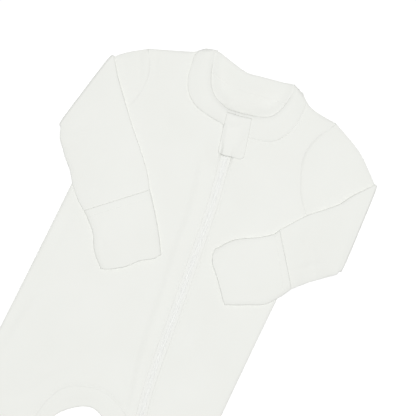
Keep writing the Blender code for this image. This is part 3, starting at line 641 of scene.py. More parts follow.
def ribbed_finish(name, code, slant, spacing, rise, **sockets):
    """A finish with ridges across u + slant v, spacing apart, in its own UV map."""
    made, tree, shader = finish(name, code, **sockets)
    uv = add(tree, "UVMap", uv_map="cloth").outputs[0]
    split = add(tree, "SeparateXYZ", (0, uv))
    lean = add(tree, "Math", (0, split.outputs[1]), (1, slant), (2, split.outputs[0]),
               operation="MULTIPLY_ADD")
    ridges = wave(tree, lean.outputs[0], 1 / spacing)
    bump = add(tree, "Bump", ("Height", ridges), ("Distance", rise), ("Strength", 0.6))
    tree.links.new(bump.outputs[0], shader.inputs["Normal"])
    return made


def clouded_finish(name, code, grain, rise, **sockets):
    """A smooth finish with a faint unevenness of grain millimetres, read in object space."""
    made, tree, shader = finish(name, code, **sockets)
    place_in = add(tree, "TexCoord").outputs["Object"]
    cloud = add(tree, "TexNoise", ("Vector", place_in), ("Scale", 1 / grain), ("Detail", 2.0))
    bump = add(tree, "Bump", ("Height", cloud.outputs[0]), ("Distance", rise), ("Strength", 0.4))
    tree.links.new(bump.outputs[0], shader.inputs["Normal"])
    return made


TAPE = ribbed_finish("polyester_twill_tape", "#e7e8e4", 1.0, TWILL, 0.08 * MM, Roughness=0.75,
                     Sheen_Weight=0.1)
THREAD = ribbed_finish("spun_polyester_thread", "#eaebe7", 0.6, PLY, 0.06 * MM, Roughness=0.6,
                       Sheen_Weight=0.2)
# The coil's colour is painted whiter than the cloth's, a painted lightening that lifts the shade
# between its hoops and on their rounded sides.
NYLON_PAINTED_WHITER = clouded_finish("nylon_painted_whiter", "#f7f8f5", 0.6 * MM, 0.03 * MM, Roughness=0.45,
                       IOR=1.53)
ENAMEL = clouded_finish("white_enamelled_zinc", "#e6e7e0", ORANGE_PEEL, 0.03 * MM,
                        Roughness=0.3, Coat_Weight=0.5, Coat_Roughness=0.12)
print("finishes:", [m.name for m in (JERSEY, TAPE, THREAD, NYLON_PAINTED_WHITER, ENAMEL)])

# %% [markdown]
# ## From a surface to a piece of cloth
#
# A piece starts as one outer skin: either a grid of points, or a panel's outline filled with
# triangles over an even lattice. The inner skin is the same points moved in by the thickness along
# their normals, and a bulging row between the two borders makes the rounded edge that knitted
# cloth has. A Solidify modifier would do the same with square edges.

# %% A mesh from arrays
WARDROBE = bpy.data.collections.new("sleepsuit")
scene.collection.children.link(WARDROBE)


def make_mesh(name, points, faces, corner_uv, material):
    """A smooth-shaded mesh object from arrays: faces is a list of arrays of triangles or quads,
    and corner_uv gives each corner's place on the cloth in metres."""
    mesh = bpy.data.meshes.new(name)
    rows = []
    for group in faces:
        rows += group.tolist()
    mesh.from_pydata(points.tolist(), [], rows)
    layer = mesh.uv_layers.new(name="cloth")
    uv = np.concatenate([group.reshape(-1, 2) for group in corner_uv])
    layer.data.foreach_set("uv", uv.astype(np.float32).ravel())
    mesh.shade_smooth()
    mesh.materials.append(material)
    piece = bpy.data.objects.new(name, mesh)
    WARDROBE.objects.link(piece)
    print(f"{name}: {len(points)} points, {sum(len(g) for g in faces)} faces")
    return piece


# %% A wall from its outer skin
EDGE_BULGE = 0.3 * MM


def normals_of(points, faces):
    """One normal a point: the sum of the cross products of the diagonals of the faces round it."""
    total = np.zeros_like(points)
    for group in faces:
        first = points[group[:, 2]] - points[group[:, 0]]
        second = points[group[:, -1]] - points[group[:, 1]]
        square = np.cross(first, second)
        for corner in group.T:
            np.add.at(total, corner, square)
    return unit(total)


def runs_with(ring, group):
    """Whether the faces have the ring's first edge in the ring's own direction."""
    return ((group == ring[0]) & (np.roll(group, -1, axis=1) == ring[1])).any()


def walled(name, outer, faces, borders, corner_uv, material=JERSEY, wall=WALL):
    """A wall from its outer skin. Each border is a closed ring of point numbers. The edge between
    the skins has a middle row, moved outwards by EDGE_BULGE."""
    count = len(outer)
    normals = normals_of(outer, faces)
    inner = outer - wall * normals
    at = np.zeros((count, 2))
    for group, uv in zip(faces, corner_uv):
        at[group.ravel()] = uv.reshape(-1, 2)
    points, all_faces, all_uv = [outer, inner], list(faces), list(corner_uv)
    for group, uv in zip(faces, corner_uv):
        all_faces.append(group[:, ::-1] + count)
        all_uv.append(uv[:, ::-1])
    used = 2 * count
    for ring in borders:
        ring = ring if runs_with(ring, faces[0]) else ring[::-1]
        following = np.roll(ring, -1)
        way = outer[following] - outer[np.roll(ring, 1)]
        out = unit(np.cross(way, normals[ring]))
        points.append((outer[ring] + inner[ring]) / 2 + out * EDGE_BULGE)
        middle = used + np.arange(len(ring))
        middle_on = np.roll(middle, -1)
        all_faces.append(np.stack((following, ring, middle, middle_on), axis=1))
        all_faces.append(np.stack((middle_on, middle, ring + count, following + count), axis=1))
        edge_uv = np.stack((at[following], at[ring], at[ring], at[following]), axis=1)
        all_uv += [edge_uv, edge_uv]
        used += len(ring)
    return make_mesh(name, np.concatenate(points), all_faces, all_uv, material)


# %% Tubes and flaps from grids
def looped(grid, around):
    """The grid, with its first column once more after the last one if the rows go around."""
    return np.concatenate((grid, grid[:, :1]), axis=1) if around else grid


def grid_parts(grid, around):
    """The points, quads, borders and UVs of a grid of rows and columns. around says whether the
    last column joins the first, as on a tube. u runs across a row and v along the columns."""
    rows, columns = grid.shape[:2]
    number = np.arange(rows * columns).reshape(rows, columns)
    loop = looped(number, around)
    quads = np.stack((loop[:-1, :-1], loop[:-1, 1:], loop[1:, 1:], loop[1:, :-1]), axis=-1)
    step = lengths(np.diff(looped(grid, around), axis=1))
    u = np.concatenate((np.zeros((rows, 1)), np.cumsum(step, axis=1)), axis=1)
    v = run_of(grid.mean(axis=1))[:, None] + 0 * u
    uv = np.stack((u, v), axis=-1)
    corners = np.stack((uv[:-1, :-1], uv[:-1, 1:], uv[1:, 1:], uv[1:, :-1]), axis=2)
    if around:
        borders = [number[0], number[-1]]
    else:
        borders = [np.concatenate((number[0], number[1:, -1], number[-1, -2::-1],
                                   number[-2:0:-1, 0]))]
    return grid.reshape(-1, 3), [quads.reshape(-1, 4)], borders, [corners.reshape(-1, 4, 2)]


def outwards(points, faces, corner_uv):
    """Turns the faces round if the volume that they enclose, seen from the middle, is negative."""
    quad = points[faces[0]] - points.mean(axis=0)
    volume = np.einsum("ij,ij->i", quad[:, 0], np.cross(quad[:, 1], quad[:, 2])).sum()
    if volume < 0:
        return [f[:, ::-1] for f in faces], [uv[:, ::-1] for uv in corner_uv]
    return faces, corner_uv


def tube(name, grid):
    """A flattened tube of jersey, open at both ends."""
    points, faces, borders, corner_uv = grid_parts(grid, True)
    faces, corner_uv = outwards(points, faces, corner_uv)
    return walled(name, points, faces, borders, corner_uv)


def flap(name, grid, up, wall=WALL, material=JERSEY):
    """A piece of cloth with four free edges. Its outer side looks up at the column numbered up."""
    points, faces, borders, corner_uv = grid_parts(grid, False)
    if normals_of(points, faces).reshape(grid.shape)[:, up, 2].mean() < 0:
        faces, corner_uv = [f[:, ::-1] for f in faces], [uv[:, ::-1] for uv in corner_uv]
    return walled(name, points, faces, borders, corner_uv, material, wall)


def girths(grid, around=False):
    """The length of each row of a grid, and the length of the grid along its middle."""
    wide = lengths(np.diff(looped(grid, around), axis=1)).sum(axis=1)
    return wide, float(run_of(grid.mean(axis=1))[-1])


# %% Panels from outlines
EDGE_ROWS = (0.4 * MM, 0.9 * MM, 1.6 * MM, 2.5 * MM, 3.6 * MM)
ROW_KEPT = 0.93  # a row's point stays if it is this far from the edge, over the row's own distance
LATTICE_GAP = 0.55  # how far the lattice stays from the last row, over its own grid


def triangles(plan, edges):
    """Triangles over the points of a plan, all anticlockwise seen from above. The plan starts with
    the points of the edges, and no triangle crosses an edge."""
    sides, first = [], 0
    for edge in edges:
        ring = first + np.arange(len(edge))
        sides += np.stack((ring, np.roll(ring, -1)), axis=1).tolist()
        first += len(edge)
    flat, _, faces, _, _, _ = delaunay_2d_cdt(plan.tolist(), sides, [], 1, 1e-9)
    plan, faces = np.array([tuple(point) for point in flat]), np.array(faces)
    a, b, c = (plan[faces[:, i]] for i in range(3))
    turn = (b[:, 0] - a[:, 0]) * (c[:, 1] - a[:, 1]) - (b[:, 1] - a[:, 1]) * (c[:, 0] - a[:, 0])
    faces[turn < 0] = faces[turn < 0][:, ::-1]
    return plan, faces


def panel(name, outline, height, looks_up, grid=2.0 * MM):
    """A cut panel of jersey. Its points are the outline, five rows set in from it, where the cloth
    curves down, and an even lattice of triangles. Their heights come from height(plan)."""
    edge = closed(outline)
    area = 0.5 * np.sum(edge[:-1, 0] * edge[1:, 1] - edge[1:, 0] * edge[:-1, 1])
    if area < 0:
        outline, edge = outline[::-1], edge[::-1]
    sets = [outline]
    for inset in EDGE_ROWS:
        row = beside(closed(outline), inset)
        held = inside(row, outline) & (distance_to(row, edge) > ROW_KEPT * inset)
        sets.append(row[held])
    low, high = outline.min(0), outline.max(0)
    ys = np.arange(low[1], high[1], grid * math.sqrt(3 / 4))
    xs = np.arange(low[0], high[0], grid)
    lattice = np.stack(np.meshgrid(xs, ys), axis=-1)
    lattice[1::2, :, 0] += grid / 2
    lattice = lattice.reshape(-1, 2)
    lattice = lattice[inside(lattice, outline)]
    sets.append(lattice[distance_to(lattice, edge) > EDGE_ROWS[-1] + LATTICE_GAP * grid])
    plan, faces = triangles(np.concatenate(sets), [outline])
    if not looks_up:
        faces = faces[:, ::-1]
    points = np.column_stack((plan, height(plan)))
    border = np.arange(len(outline))
    piece = walled(name, points, [faces], [border], [plan[faces]])
    return piece, abs(area)


# %% Handing a piece to the frame
def hand_over(piece, node, body="suit"):
    """The piece moves with its body and stands for its solid, which it hides."""
    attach(piece, body)
    if node:
        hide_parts(node)
    return piece


def cloth(piece, node, flat, area):
    """Hands over a piece of jersey, with the size that it was cut to."""
    hand_over(piece, node)
    print(f"{piece.name}: cut from {flat[0]:.3f} x {flat[1]:.3f} m, {area * 1e4:.0f} cm2")


def cut(piece, node, wide, length, rests_on):
    """Hands over a folded piece that is as wide and as long as its grid."""
    cloth(piece, node, (float(wide.max()), length), float(wide.mean()) * length)


def box_of(outline):
    """An outline's width and length."""
    return tuple(float(size) for size in np.ptp(outline, axis=0))


# %% [markdown]
# ## Body panels
#
# The wearer's right front runs from the side seam to the zip and takes in the crotch and the right
# leg. The left front is the narrower one. At the side seams the front turns down and the back
# turns up until they meet, as a sewn edge does. Along the zip the cloth is folded under and
# stitched down, so it ends in a round fold with a row of stitches beside it.

# %% Seam lines
OUTWARDS = {"right": -1, "left": 1}  # the sign of x on each side of the wearer


def armhole(side, offset):
    """The armhole from shoulder to armpit, moved towards the sleeve by offset."""
    return beside(smooth(place(ARMHOLE[side])), OUTWARDS[side] * offset)


def leg_seam(side):
    """The gusset's seam down the inside of a leg."""
    return stepped(beside(leg_inside(side, GUSSET_SEAM), OUTWARDS[side] * SEAM / 2))


def side_line(side):
    """The side seam, from the armpit to the ankle."""
    line = smooth(place(SIDE[side]))[1:]
    line[-1, 1] = TOP_Y - ANKLE
    return line


def ankle_line(side):
    """The ankle seam, from the side seam to the gusset."""
    return np.array((side_line(side)[-1], (leg_seam(side)[-1, 0], TOP_Y - ANKLE)))


def band_seam(part):
    """The line where a panel ends under the neckband."""
    return stepped(beside(band_edges(part)[1], DEEP_SEAM if part == "left" else -SEAM / 2))


ZIP = smooth(place(ZIP_LINE), 2 * MM)


def zip_edge(sign, offset=ZIP_OPEN / 2):
    """A line beside the zip, from the neckband to the ankle."""
    edge = beside(ZIP, sign * offset)
    low = TOP_Y - ANKLE
    kept = edge[(edge[:, 1] < TOP_Y - ZIP_TOP) & (edge[:, 1] > low + 1 * MM)]
    return np.concatenate((kept, [(edge[-1, 0], low)]))


# %% The cuts
SHOULDERS = {side: smooth(place(SHOULDER[side])) for side in SHOULDER}


def body_side(side):
    """The lines down one side of the back's cut, from the neckband to the crotch: shoulder,
    armhole, side seam, ankle and leg."""
    return [SHOULDERS[side][1:-1], armhole(side, -DEEP_SEAM), side_line(side),
            stepped(ankle_line(side)), leg_seam(side)[-2::-1]]


CUT_RIGHT = joined(*body_side("right"), leg_seam("left")[1:-1], ankle_line("left")[1:],
                   zip_edge(-1)[::-1], band_seam("right")[::-1])
LEFT_HEM = stepped(np.stack((side_line("left")[-1], zip_edge(1)[-1])))
CUT_LEFT = joined(*body_side("left")[:3], LEFT_HEM, zip_edge(1)[-2::-1], band_seam("left")[::-1])
CUT_BACK = joined(*body_side("right"), *[line[::-1] for line in body_side("left")[::-1]],
                  band_seam("back")[::-1])
print("points round the cuts:", len(CUT_RIGHT), len(CUT_LEFT), len(CUT_BACK))

# %% Where the cloth goes down
# Each row: a line, how far the cloth goes down at it, and from how near.
EDGE = (1.0 * MM, 3.0 * MM)
SEWN = (0.42 * MM, 3.6 * MM)
FOLDED = (0.45 * MM, 2.2 * MM)
ARMHOLE_SEWN = {"right": (0.15 * MM, 5.0 * MM), "left": (0.6 * MM, 5.5 * MM)}
BAND_SEWN = {"right": (0.85 * MM, 7.5 * MM), "left": (0.2 * MM, 5 * MM)}
GUSSET_END = 448 * MM  # below this depth the legs' insides are edges, as the side seams are

SIDES = [(SHOULDERS[s], *EDGE) for s in SHOULDERS]
SIDES += [(side_line(s), *EDGE) for s in SIDE]
SIDES += [(leg_seam(s)[leg_seam(s)[:, 1] < TOP_Y - GUSSET_END], *EDGE) for s in SIDE]
SEAMS = [(armhole(s, 0), *ARMHOLE_SEWN[s]) for s in ARMHOLE]
SEAMS += [(leg_seam(s), *SEWN) for s in SIDE]
SEAMS += [(ankle_line(s), *SEWN) for s in SIDE]
FRONT_FALLS = SIDES + SEAMS + [(zip_edge(s), *FOLDED) for s in (-1, 1)]
FRONT_FALLS += [(band_seam(s), *BAND_SEWN[s]) for s in BAND_SEWN]
BACK_FALLS = SIDES + SEAMS + [(band_seam("back"), *SEWN)]
print("lines where the front goes down:", len(FRONT_FALLS))

# %% Where the panels are stitched
ROW_OFF = 2.2 * MM  # from a seam or a fold to its row of stitches
BAND_ROW_OFF = 1.9 * MM
ROW_SHORT = 1.5 * MM  # how far the ankles' rows stay behind their corners
ROW_TO_FOLD = 2 * MM  # and behind the zip's folds


def ankle_row(side):
    """A level line just above the ankle seam."""
    ends = ankle_line(side)
    inwards = ROW_SHORT * np.sign(ends[::-1, 0] - ends[:, 0])
    return ends + np.column_stack((inwards, (ROW_OFF, ROW_OFF)))


BAND_ROWS = []
for side, outline in (("right", CUT_RIGHT), ("left", CUT_LEFT)):
    row = beside(band_edges(side)[1], OUTWARDS[side] * BAND_ROW_OFF)
    BAND_ROWS.append(row[inside(row, outline)][3:])
ARCH_ROW = beside(np.concatenate((leg_seam("right")[::-1], leg_seam("left")[1:])), ROW_OFF)
LEFT_ANKLE = ankle_row("left")
ANKLE_ROWS = [ankle_row("right")]
ANKLE_ROWS += [np.stack((end, (ZIP[-1, 0] + sign * (ZIP_OPEN / 2 + ROW_TO_FOLD), end[1])))
               for sign, end in zip((1, -1), LEFT_ANKLE)]
FRONT_ROWS = [*(zip_edge(s, ZIP_OPEN / 2 + ROW_OFF) for s in (-1, 1)), *BAND_ROWS, ARCH_ROW,
              *ANKLE_ROWS]
BACK_BAND_ROW = beside(band_seam("back"), -ROW_OFF)
BACK_BAND_ROW = BACK_BAND_ROW[inside(BACK_BAND_ROW, CUT_BACK)][3:-3]
BACK_ROWS = [ARCH_ROW, BACK_BAND_ROW, ankle_row("right"), LEFT_ANKLE]
print("rows of stitches, front and back:", len(FRONT_ROWS), len(BACK_ROWS))

# %% The heights of the panels
NECK_RISE = 3.7 * MM  # at the bands' folds, at most
NECK_REACH = 3.4  # how far it reaches, over its height
NECK_POWER = 1.4
NECK_GAP = 0.5 * MM
NECK_SEEN = BAND_POINTS - 10  # the points of a band's fold up to the guard


def front_top(points):
    """The front's top: its height with creases and ripples, less the falls at its seams and the
    dents under its stitches."""
    return (lie(points) + creases(points, FRONT_CREASES) + ripples(points, "front")
            - falls(points, FRONT_FALLS) - dents(points, FRONT_ROWS))


def neck_rise(points):
    """The back is drawn up to the front bands' folds, as far as it has room under them. Away from
    them it comes down by (1 - distance over reach) to NECK_POWER, where the reach is NECK_REACH
    times that room, so the slope is the same all round."""
    folds = [band_edges(side)[0][:NECK_SEEN] for side in ("right", "left")]
    far = np.min([distance_to(points, fold) for fold in folds], axis=0)
    room = np.minimum(NECK_RISE, lie(points, 1.0) + LAYER - WALL - NECK_GAP)
    return room * np.clip(1 - far / (NECK_REACH * room), 0, 1) ** NECK_POWER


def back_under(points):
    """The back's underside: flat on the table, but for seams that turn up, a few creases, dents
    under stitches, and the rise inside the neck."""
    up = np.maximum(falls(points, BACK_FALLS), creases(points, BACK_CREASES))
    return np.maximum(up, neck_rise(points)) + dents(points, BACK_ROWS)


# %% Cut the fronts and the back
for node, outline, height, grid, under in (
        ("front_right", CUT_RIGHT, front_top, 2.0 * MM, "back_shell"),
        ("front_left", CUT_LEFT, front_top, 2.0 * MM, "back_shell"),
        ("back", CUT_BACK, back_under, 2.6 * MM, "floor")):
    piece, area = panel(node + "_shell", outline, height, node != "back", grid)
    cloth(piece, node, box_of(outline), area)

# %% [markdown]
# ## Feet
#
# Each foot is two oval pieces sewn round their edge: a crowned upper and a flat sole.

# %% Cut the feet
for side in FOOT:
    foot_edge = smooth(place(FOOT[side]))
    ankle = np.stack((foot_edge[-1], foot_edge[0]))
    outline = joined(foot_edge, stepped(ankle)[1:-1])
    rows = [(foot_edge, *EDGE), (ankle, *SEWN)]
    upper = lambda points: lie(points) + ripples(points, "foot") - falls(points, rows)
    sole = lambda points: falls(points, rows)
    for part, height, under in (("upper", upper, f"foot_sole_{side}_shell"),
                                ("sole", sole, "floor")):
        node = f"foot_{part}_{side}"
        piece, area = panel(node + "_shell", outline, height, part == "upper")
        cloth(piece, node, box_of(outline), area)

# %% [markdown]
# ## Sleeves
#
# A sleeve is one tube. It runs out from the armhole, turns over on itself at a soft crease and
# comes back across the front. Its surface is a set of closed rings: flat ones for the upper arm,
# rings that turn through half a circle at the crease, and flat ones again for the forearm, where
# what was the upper skin is underneath.

# %% Rings of a flattened tube
ACROSS = 44  # steps across a tube
SPREAD = edgewards(ACROSS)  # -1 at the inner edge, 1 at the outer one
SWELL = np.sqrt(1 - np.abs(SPREAD) ** 7)  # the half thickness of an unpressed tube
RIM_ROUND = 0.7 * MM
RIM_SHARE = 0.5
FLANK = 5.5 * MM
UP = np.array((0.0, 0.0, 1.0))
BEND_RADIUS = (TUBE + FOLD_GAP) / 2
BEND_IN = BEND_RADIUS + TUBE / 2


def across(inner, outer):
    """Points from the inner to the outer edge of each station, closer together at the edges."""
    return inner[..., None, :] + (outer - inner)[..., None, :] * (SPREAD[:, None] + 1) / 2


def heights(height, plans, *more):
    """A height function over stations of points, kept in their shape."""
    return height(plans.reshape(-1, 2), *more).reshape(plans.shape[:-1])


def flanks(plans, pressed=1.0):
    """The shares of their heights that the two skins of a pressed tube have: a quarter circle of
    RIM_ROUND at its edge, and on top a slope over FLANK as well, which is steepest at the edge."""
    wide = lengths(plans[:, -1] - plans[:, 0])[:, None]
    away = (1 - np.abs(SPREAD)) * wide / 2
    rim = np.sqrt(1 - fading(away, RIM_ROUND))
    upper = RIM_SHARE * rim + (1 - RIM_SHARE) * (1 - fading(away, FLANK))
    return SWELL + (rim - SWELL) * pressed, SWELL + (upper - SWELL) * pressed


def rings(plans, low, high, rim=0.5, swells=(SWELL, SWELL)):
    """Closed rings: across the underside to the outer edge, and back over the top. Both skins
    come together at the edges, at the share rim of the height between them."""
    middle = low + rim * (high - low)
    lower = raised(plans, middle - (middle - low) * swells[0])
    upper = raised(plans, middle + (high - middle) * swells[1])
    return np.concatenate((lower, upper[:, -2:0:-1]), axis=1)


def turned(points):
    """Rings of the folded part, numbered so that they go on from those of the bend."""
    lower, upper = points[:, : ACROSS + 1], points[:, :ACROSS:-1]
    whole_upper = np.concatenate((lower[:, :1], upper, lower[:, -1:]), axis=1)
    return np.concatenate((whole_upper, lower[:, -2:0:-1]), axis=1)


def crease_away(inner, outer, side):
    """The way square to a sleeve's crease, and away from the body."""
    return OUTWARDS[side] * left_of(unit(outer - inner))


def bend_rings(inner, outer, away, count):
    """Rings round the crease: a flat section turned through half a circle about its axis."""
    turn = np.linspace(0, math.pi, count)[:, None, None]
    axis = across(inner, outer) - away * BEND_IN
    middle = np.column_stack((axis, np.full(len(axis), BEND_IN)))
    out = np.append(away, 0.0)
    middle = middle + BEND_RADIUS * (out * np.sin(turn) - UP * np.cos(turn))
    half = TUBE / 2 * SWELL[:, None] * (UP * np.cos(turn) - out * np.sin(turn))
    return np.concatenate((middle - half, (middle + half)[:, -2:0:-1]), axis=1)


# %% Sew the sleeves
RIM = 0.3  # a tube that lies on the front is flat below, and rounded above
UPPER_RINGS = 26
BEND_TURNS = 15
FOREARM_RINGS = 66
PRESSED_FROM = (2 * MM, 42 * MM)  # beyond the crease
FLANKS_FROM = (0, 12 * MM)  # beyond the crease, its edges take their own shape from here to there
SLEEVE_END = (0.3 * MM, 4 * MM)  # how far it goes down at the cuff, and from how near


def on_top(points, loft, spread, pressed=1.0):
    """The two skins of a tube that lies on the front. pressed goes from 0 at the crease to 1."""
    low = lie(points) + FOLD_GAP + (PRESSED_GAP - FOLD_GAP) * pressed
    return low, low + TUBE + (PRESSED_TUBE - TUBE) * pressed + loft * (1 - spread**2)


def sleeve_grid(side):
    """The whole sleeve as one grid of rings."""
    seam = along(armhole(side, DEEP_SEAM), (SPREAD + 1) / 2)
    inner, outer = stations(UPPER_ARM[side])
    away = crease_away(inner[-1], outer[-1], side)
    plans = np.array((seam, *across(inner, outer)))
    plans[-1] -= away * (BEND_IN + FOLD_STEP)
    plans = eased(plans.reshape(3, -1), UPPER_RINGS).reshape(UPPER_RINGS, -1, 2)
    sewn = [(armhole(side, 0), *ARMHOLE_SEWN[side])]
    down = heights(falls, plans, sewn)
    top = heights(lie, plans) + heights(creases, plans, ARM_CREASES[side]) - down
    upper_arm = rings(plans, down, top + heights(ripples, plans, "upper_arm"))
    bend = bend_rings(inner[-1], outer[-1], away, BEND_TURNS)
    inner, outer = stations(eased(FOREARM[side], FOREARM_RINGS))
    plans = across(inner, outer)
    flat = plans.reshape(-1, 2)
    run = run_of((inner + outer) / 2)
    pressed = np.repeat(eased_step(run, *PRESSED_FROM), ACROSS + 1)
    low, high = on_top(flat, SLEEVE_LOFT, np.tile(SPREAD, FOREARM_RINGS), pressed)
    end = [(np.stack((inner[-1], outer[-1])), *SLEEVE_END)]
    high += creases(flat, FOREARM_CREASES[side]) + ripples(flat, "forearm") - falls(flat, end)
    begun = eased_step(run, *FLANKS_FROM)[:, None]
    forearm = rings(plans, low.reshape(plans.shape[:2]), high.reshape(plans.shape[:2]),
                    0.5 + (RIM - 0.5) * begun, flanks(plans, begun))
    return np.concatenate((upper_arm, bend, turned(forearm)))


for side in ("right", "left"):
    grid = sleeve_grid(side)
    piece = tube(f"sleeve_{side}_shell", grid)
    cut(piece, "sleeve_" + side, *girths(grid, True), [f"front_{side}_shell"])

# %% [markdown]
# ## Cuffs and fold-over mittens
#
# The cuff is a short tube. The mitten is a second layer on its upper side: sewn in at the end of
# the cuff, it lies back over it and ends in an open, hemmed mouth towards the sleeve, ready to be
# turned over the hand. Its hem is double, so it stands a little higher there, and its end curls
# down over the lip of the cuff.

# %% Sew the cuffs and mittens
CUFF_RINGS = 48
HEM = 7 * MM
HEM_RISE = 0.15 * MM
HEM_STEP = (HEM - 1 * MM, HEM + 0.6 * MM)  # from two layers to one
MOUTH_DROP = 0.35 * MM
MOUTH_REACH = 3.5 * MM
END_DROP = 0.5 * MM  # the folded end is pressed flat
END_REACH = 7 * MM
WAVE_REACH = 14 * MM  # how far back the end's waviness goes
LIP_RADIUS = 0.8 * MM
LIP_ROWS = 7
LIP_TURN = 0.8 * math.pi
# How far the folded end is beyond its straight line, from its inner to its outer corner, in mm.
END_WAVE = {"right": (-1.8, 0.2, -0.4, -0.9, 0.5, 1.5, 0.9, 0.3, -1.8),
            "left": (-2.2, 1.6, 2.4, 1.2, 0.2, -0.5, -1.2, -1.6, -2.8)}


def cuff_plans(side):
    """Stations of the cuff, whose folded end is wavy rather than straight."""
    inner, outer = stations(eased(CUFF[side], CUFF_RINGS))
    plans = across(inner, outer)
    run = run_of((inner + outer) / 2)
    near = eased_step(run, run[-1] - WAVE_REACH, run[-1])
    way = end_way(inner + outer)
    beyond = np.interp(SPREAD, np.linspace(-1, 1, len(END_WAVE[side])), END_WAVE[side]) * MM
    return plans + near[:, None, None] * beyond[:, None] * way


def drawn_in(plans, amount):
    """Stations made narrower by amount at each end."""
    middle = (plans[:, :1] + plans[:, -1:]) / 2
    half = lengths(plans[:, -1] - plans[:, 0])[:, None, None] / 2
    return middle + (plans - middle) * (1 - amount / half)


def cuff_skins(side, plans):
    """The cuff's two skins, with its creases, which come together towards its end."""
    flat = plans.reshape(-1, 2)
    low, high = on_top(flat, CUFF_LOFT, np.tile(SPREAD, len(plans)))
    high += creases(flat, CUFF_CREASES[side]) + ripples(flat, "cuff")
    low, high = low.reshape(plans.shape[:2]), high.reshape(plans.shape[:2])
    run = run_of(plans.mean(axis=1))
    return low, high - END_DROP * fading(run[-1] - run, END_REACH)[:, None]


def mitten_grid(side):
    """Rows over the top half of the cuff, then LIP_ROWS more that turn down round its end: at an
    angle a past the end, a point is moved on by radius sin a and down by radius (1 - cos a)."""
    plans = cuff_plans(side)
    low, high = cuff_skins(side, drawn_in(plans, PRESSED_LAYER))
    run = run_of(plans.mean(axis=1))
    hem = HEM_RISE * (1 - eased_step(run, *HEM_STEP))[:, None]
    mouth = MOUTH_DROP * fading(run, MOUTH_REACH)[:, None]
    shell = rings(plans, low - PRESSED_LAYER, high + PRESSED_LAYER + hem - mouth, RIM,
                  flanks(plans))
    top = np.concatenate((shell[:, ACROSS:], shell[:, :1]), axis=1)
    way = np.append(unit((top[-1] - top[-3])[:, :2].mean(axis=0)), 0)
    turn = np.linspace(0, LIP_TURN, LIP_ROWS + 1)[1:, None, None]
    lip = top[-1] + LIP_RADIUS * (way * np.sin(turn) - UP * (1 - np.cos(turn)))
    return np.concatenate((top, lip))


for side in ("right", "left"):
    plans = drawn_in(cuff_plans(side), PRESSED_LAYER)
    grid = rings(plans, *cuff_skins(side, plans), RIM, flanks(plans))
    piece = tube(f"cuff_{side}_shell", grid)
    cut(piece, "cuff_" + side, *girths(grid, True), [f"sleeve_{side}_shell"])
    grid = mitten_grid(side)
    piece = flap(f"mitten_{side}_shell", grid, ACROSS // 2)
    cut(piece, "mitten_" + side, *girths(grid), [f"cuff_{side}_shell"])

# %% [markdown]
# ## Neckband
#
# The band is jersey folded double and sewn on round the neck. Its folded edge is soft and round,
# leans a little into the neck, and its seam edge is drawn down to the panel. The front stretches
# stand on the fronts, and the back one lies on the table, where one looks into the neck at its
# inner side. The back's cloth is drawn up to the fronts' folds all round.

# %% Heights of the front bands
# Across a band, s goes from -1 at its fold to 1 at its seam.
BAND_DOWN = 1.3 * MM  # at the right seam
FLUSH = 0.2 * MM  # how deep the left seam lies in the front
DOWN_FROM = {"right": -0.2, "left": -0.75}  # the s at which each band starts to go down
DOWN_POWER = 1.15  # of the left one
BAND_LEAN = 1.0 * MM  # how far the fold leans down into the neck
LEAN_FROM = 0.4
BAND_MIDDLE = (0, 9 * MM)  # the guard's foot changes from the right band to the left between these


def band_down(s, part="right"):
    """How far the middle of a front band goes down to its seam and to its fold. The right one
    does so near its seam, and the left one evenly all the way, so that its seam lies flush."""
    first = DOWN_FROM[part]
    if part == "right":
        to_seam = BAND_DOWN * eased_step(s, first, 1.0)
    else:
        share = np.clip((s - first) / (1 - first), 0, 1)
        to_seam = (BAND_THICK + LAYER + FLUSH) * share**DOWN_POWER
    return to_seam + BAND_LEAN * eased_step(-s, LEAN_FROM, 1.0)


def band_top(points, bridged):
    """Height of whatever the guard lies on: the fronts, and on them the two bands as one."""
    inner, outer = (np.concatenate((right, left[::-1])) for right, left in
                    zip(band_edges("right"), band_edges("left")))
    near, far = distance_to(points, inner), distance_to(points, outer)
    s = (near - far) / (near + far)
    to_left = eased_step(points[:, 0], *BAND_MIDDLE)
    down = band_down(s) * (1 - to_left) + band_down(s, "left") * to_left
    band = LAYER + BAND_THICK / 2 * (1 + np.sqrt(1 - s**4)) - down
    on_it = inside(points, joined(inner, outer[::-1]))
    return lie(points, bridged) + np.where(on_it | (s < 0), np.maximum(band, 0), 0)


# %% Sew the neckband
BAND_ROWS_LONG = 90
BAND_ACROSS = 14  # steps across it, on each side
BAND_WALL = 0.8 * MM
BACK_HIDDEN = 0.05  # how far the back band goes on inside the back, over its width
BACK_THINNER = 0.58  # how much of its thickness it loses towards its seam
BACK_THINS_FROM = -0.6  # the s at which that starts
BACK_LIFT = 0.14 * MM  # of its seam edge
BACK_LIFTS_FROM = 0.2
SEAM_CLOSED = 0.2  # how far its seam edge closes, which is hidden
EDGE_POWER = {"right": 4, "left": 14}  # at the seams: the left one is nearly square
SHOULDER_DOWN = 0.9 * MM
SHOULDER_REACH = 6 * MM
SHOULDER_CLOSED = 0.6  # the two layers meet at the shoulder
CLOSED_REACH = 3 * MM
UNDER_GUARD = {"right": 3 * MM, "left": 0.5 * MM}  # how far each seam goes on under the guard
FOLDS_MEET = {"right": (-0.2, 44.6), "left": (-1.8, 44.86)}  # they overlap a little


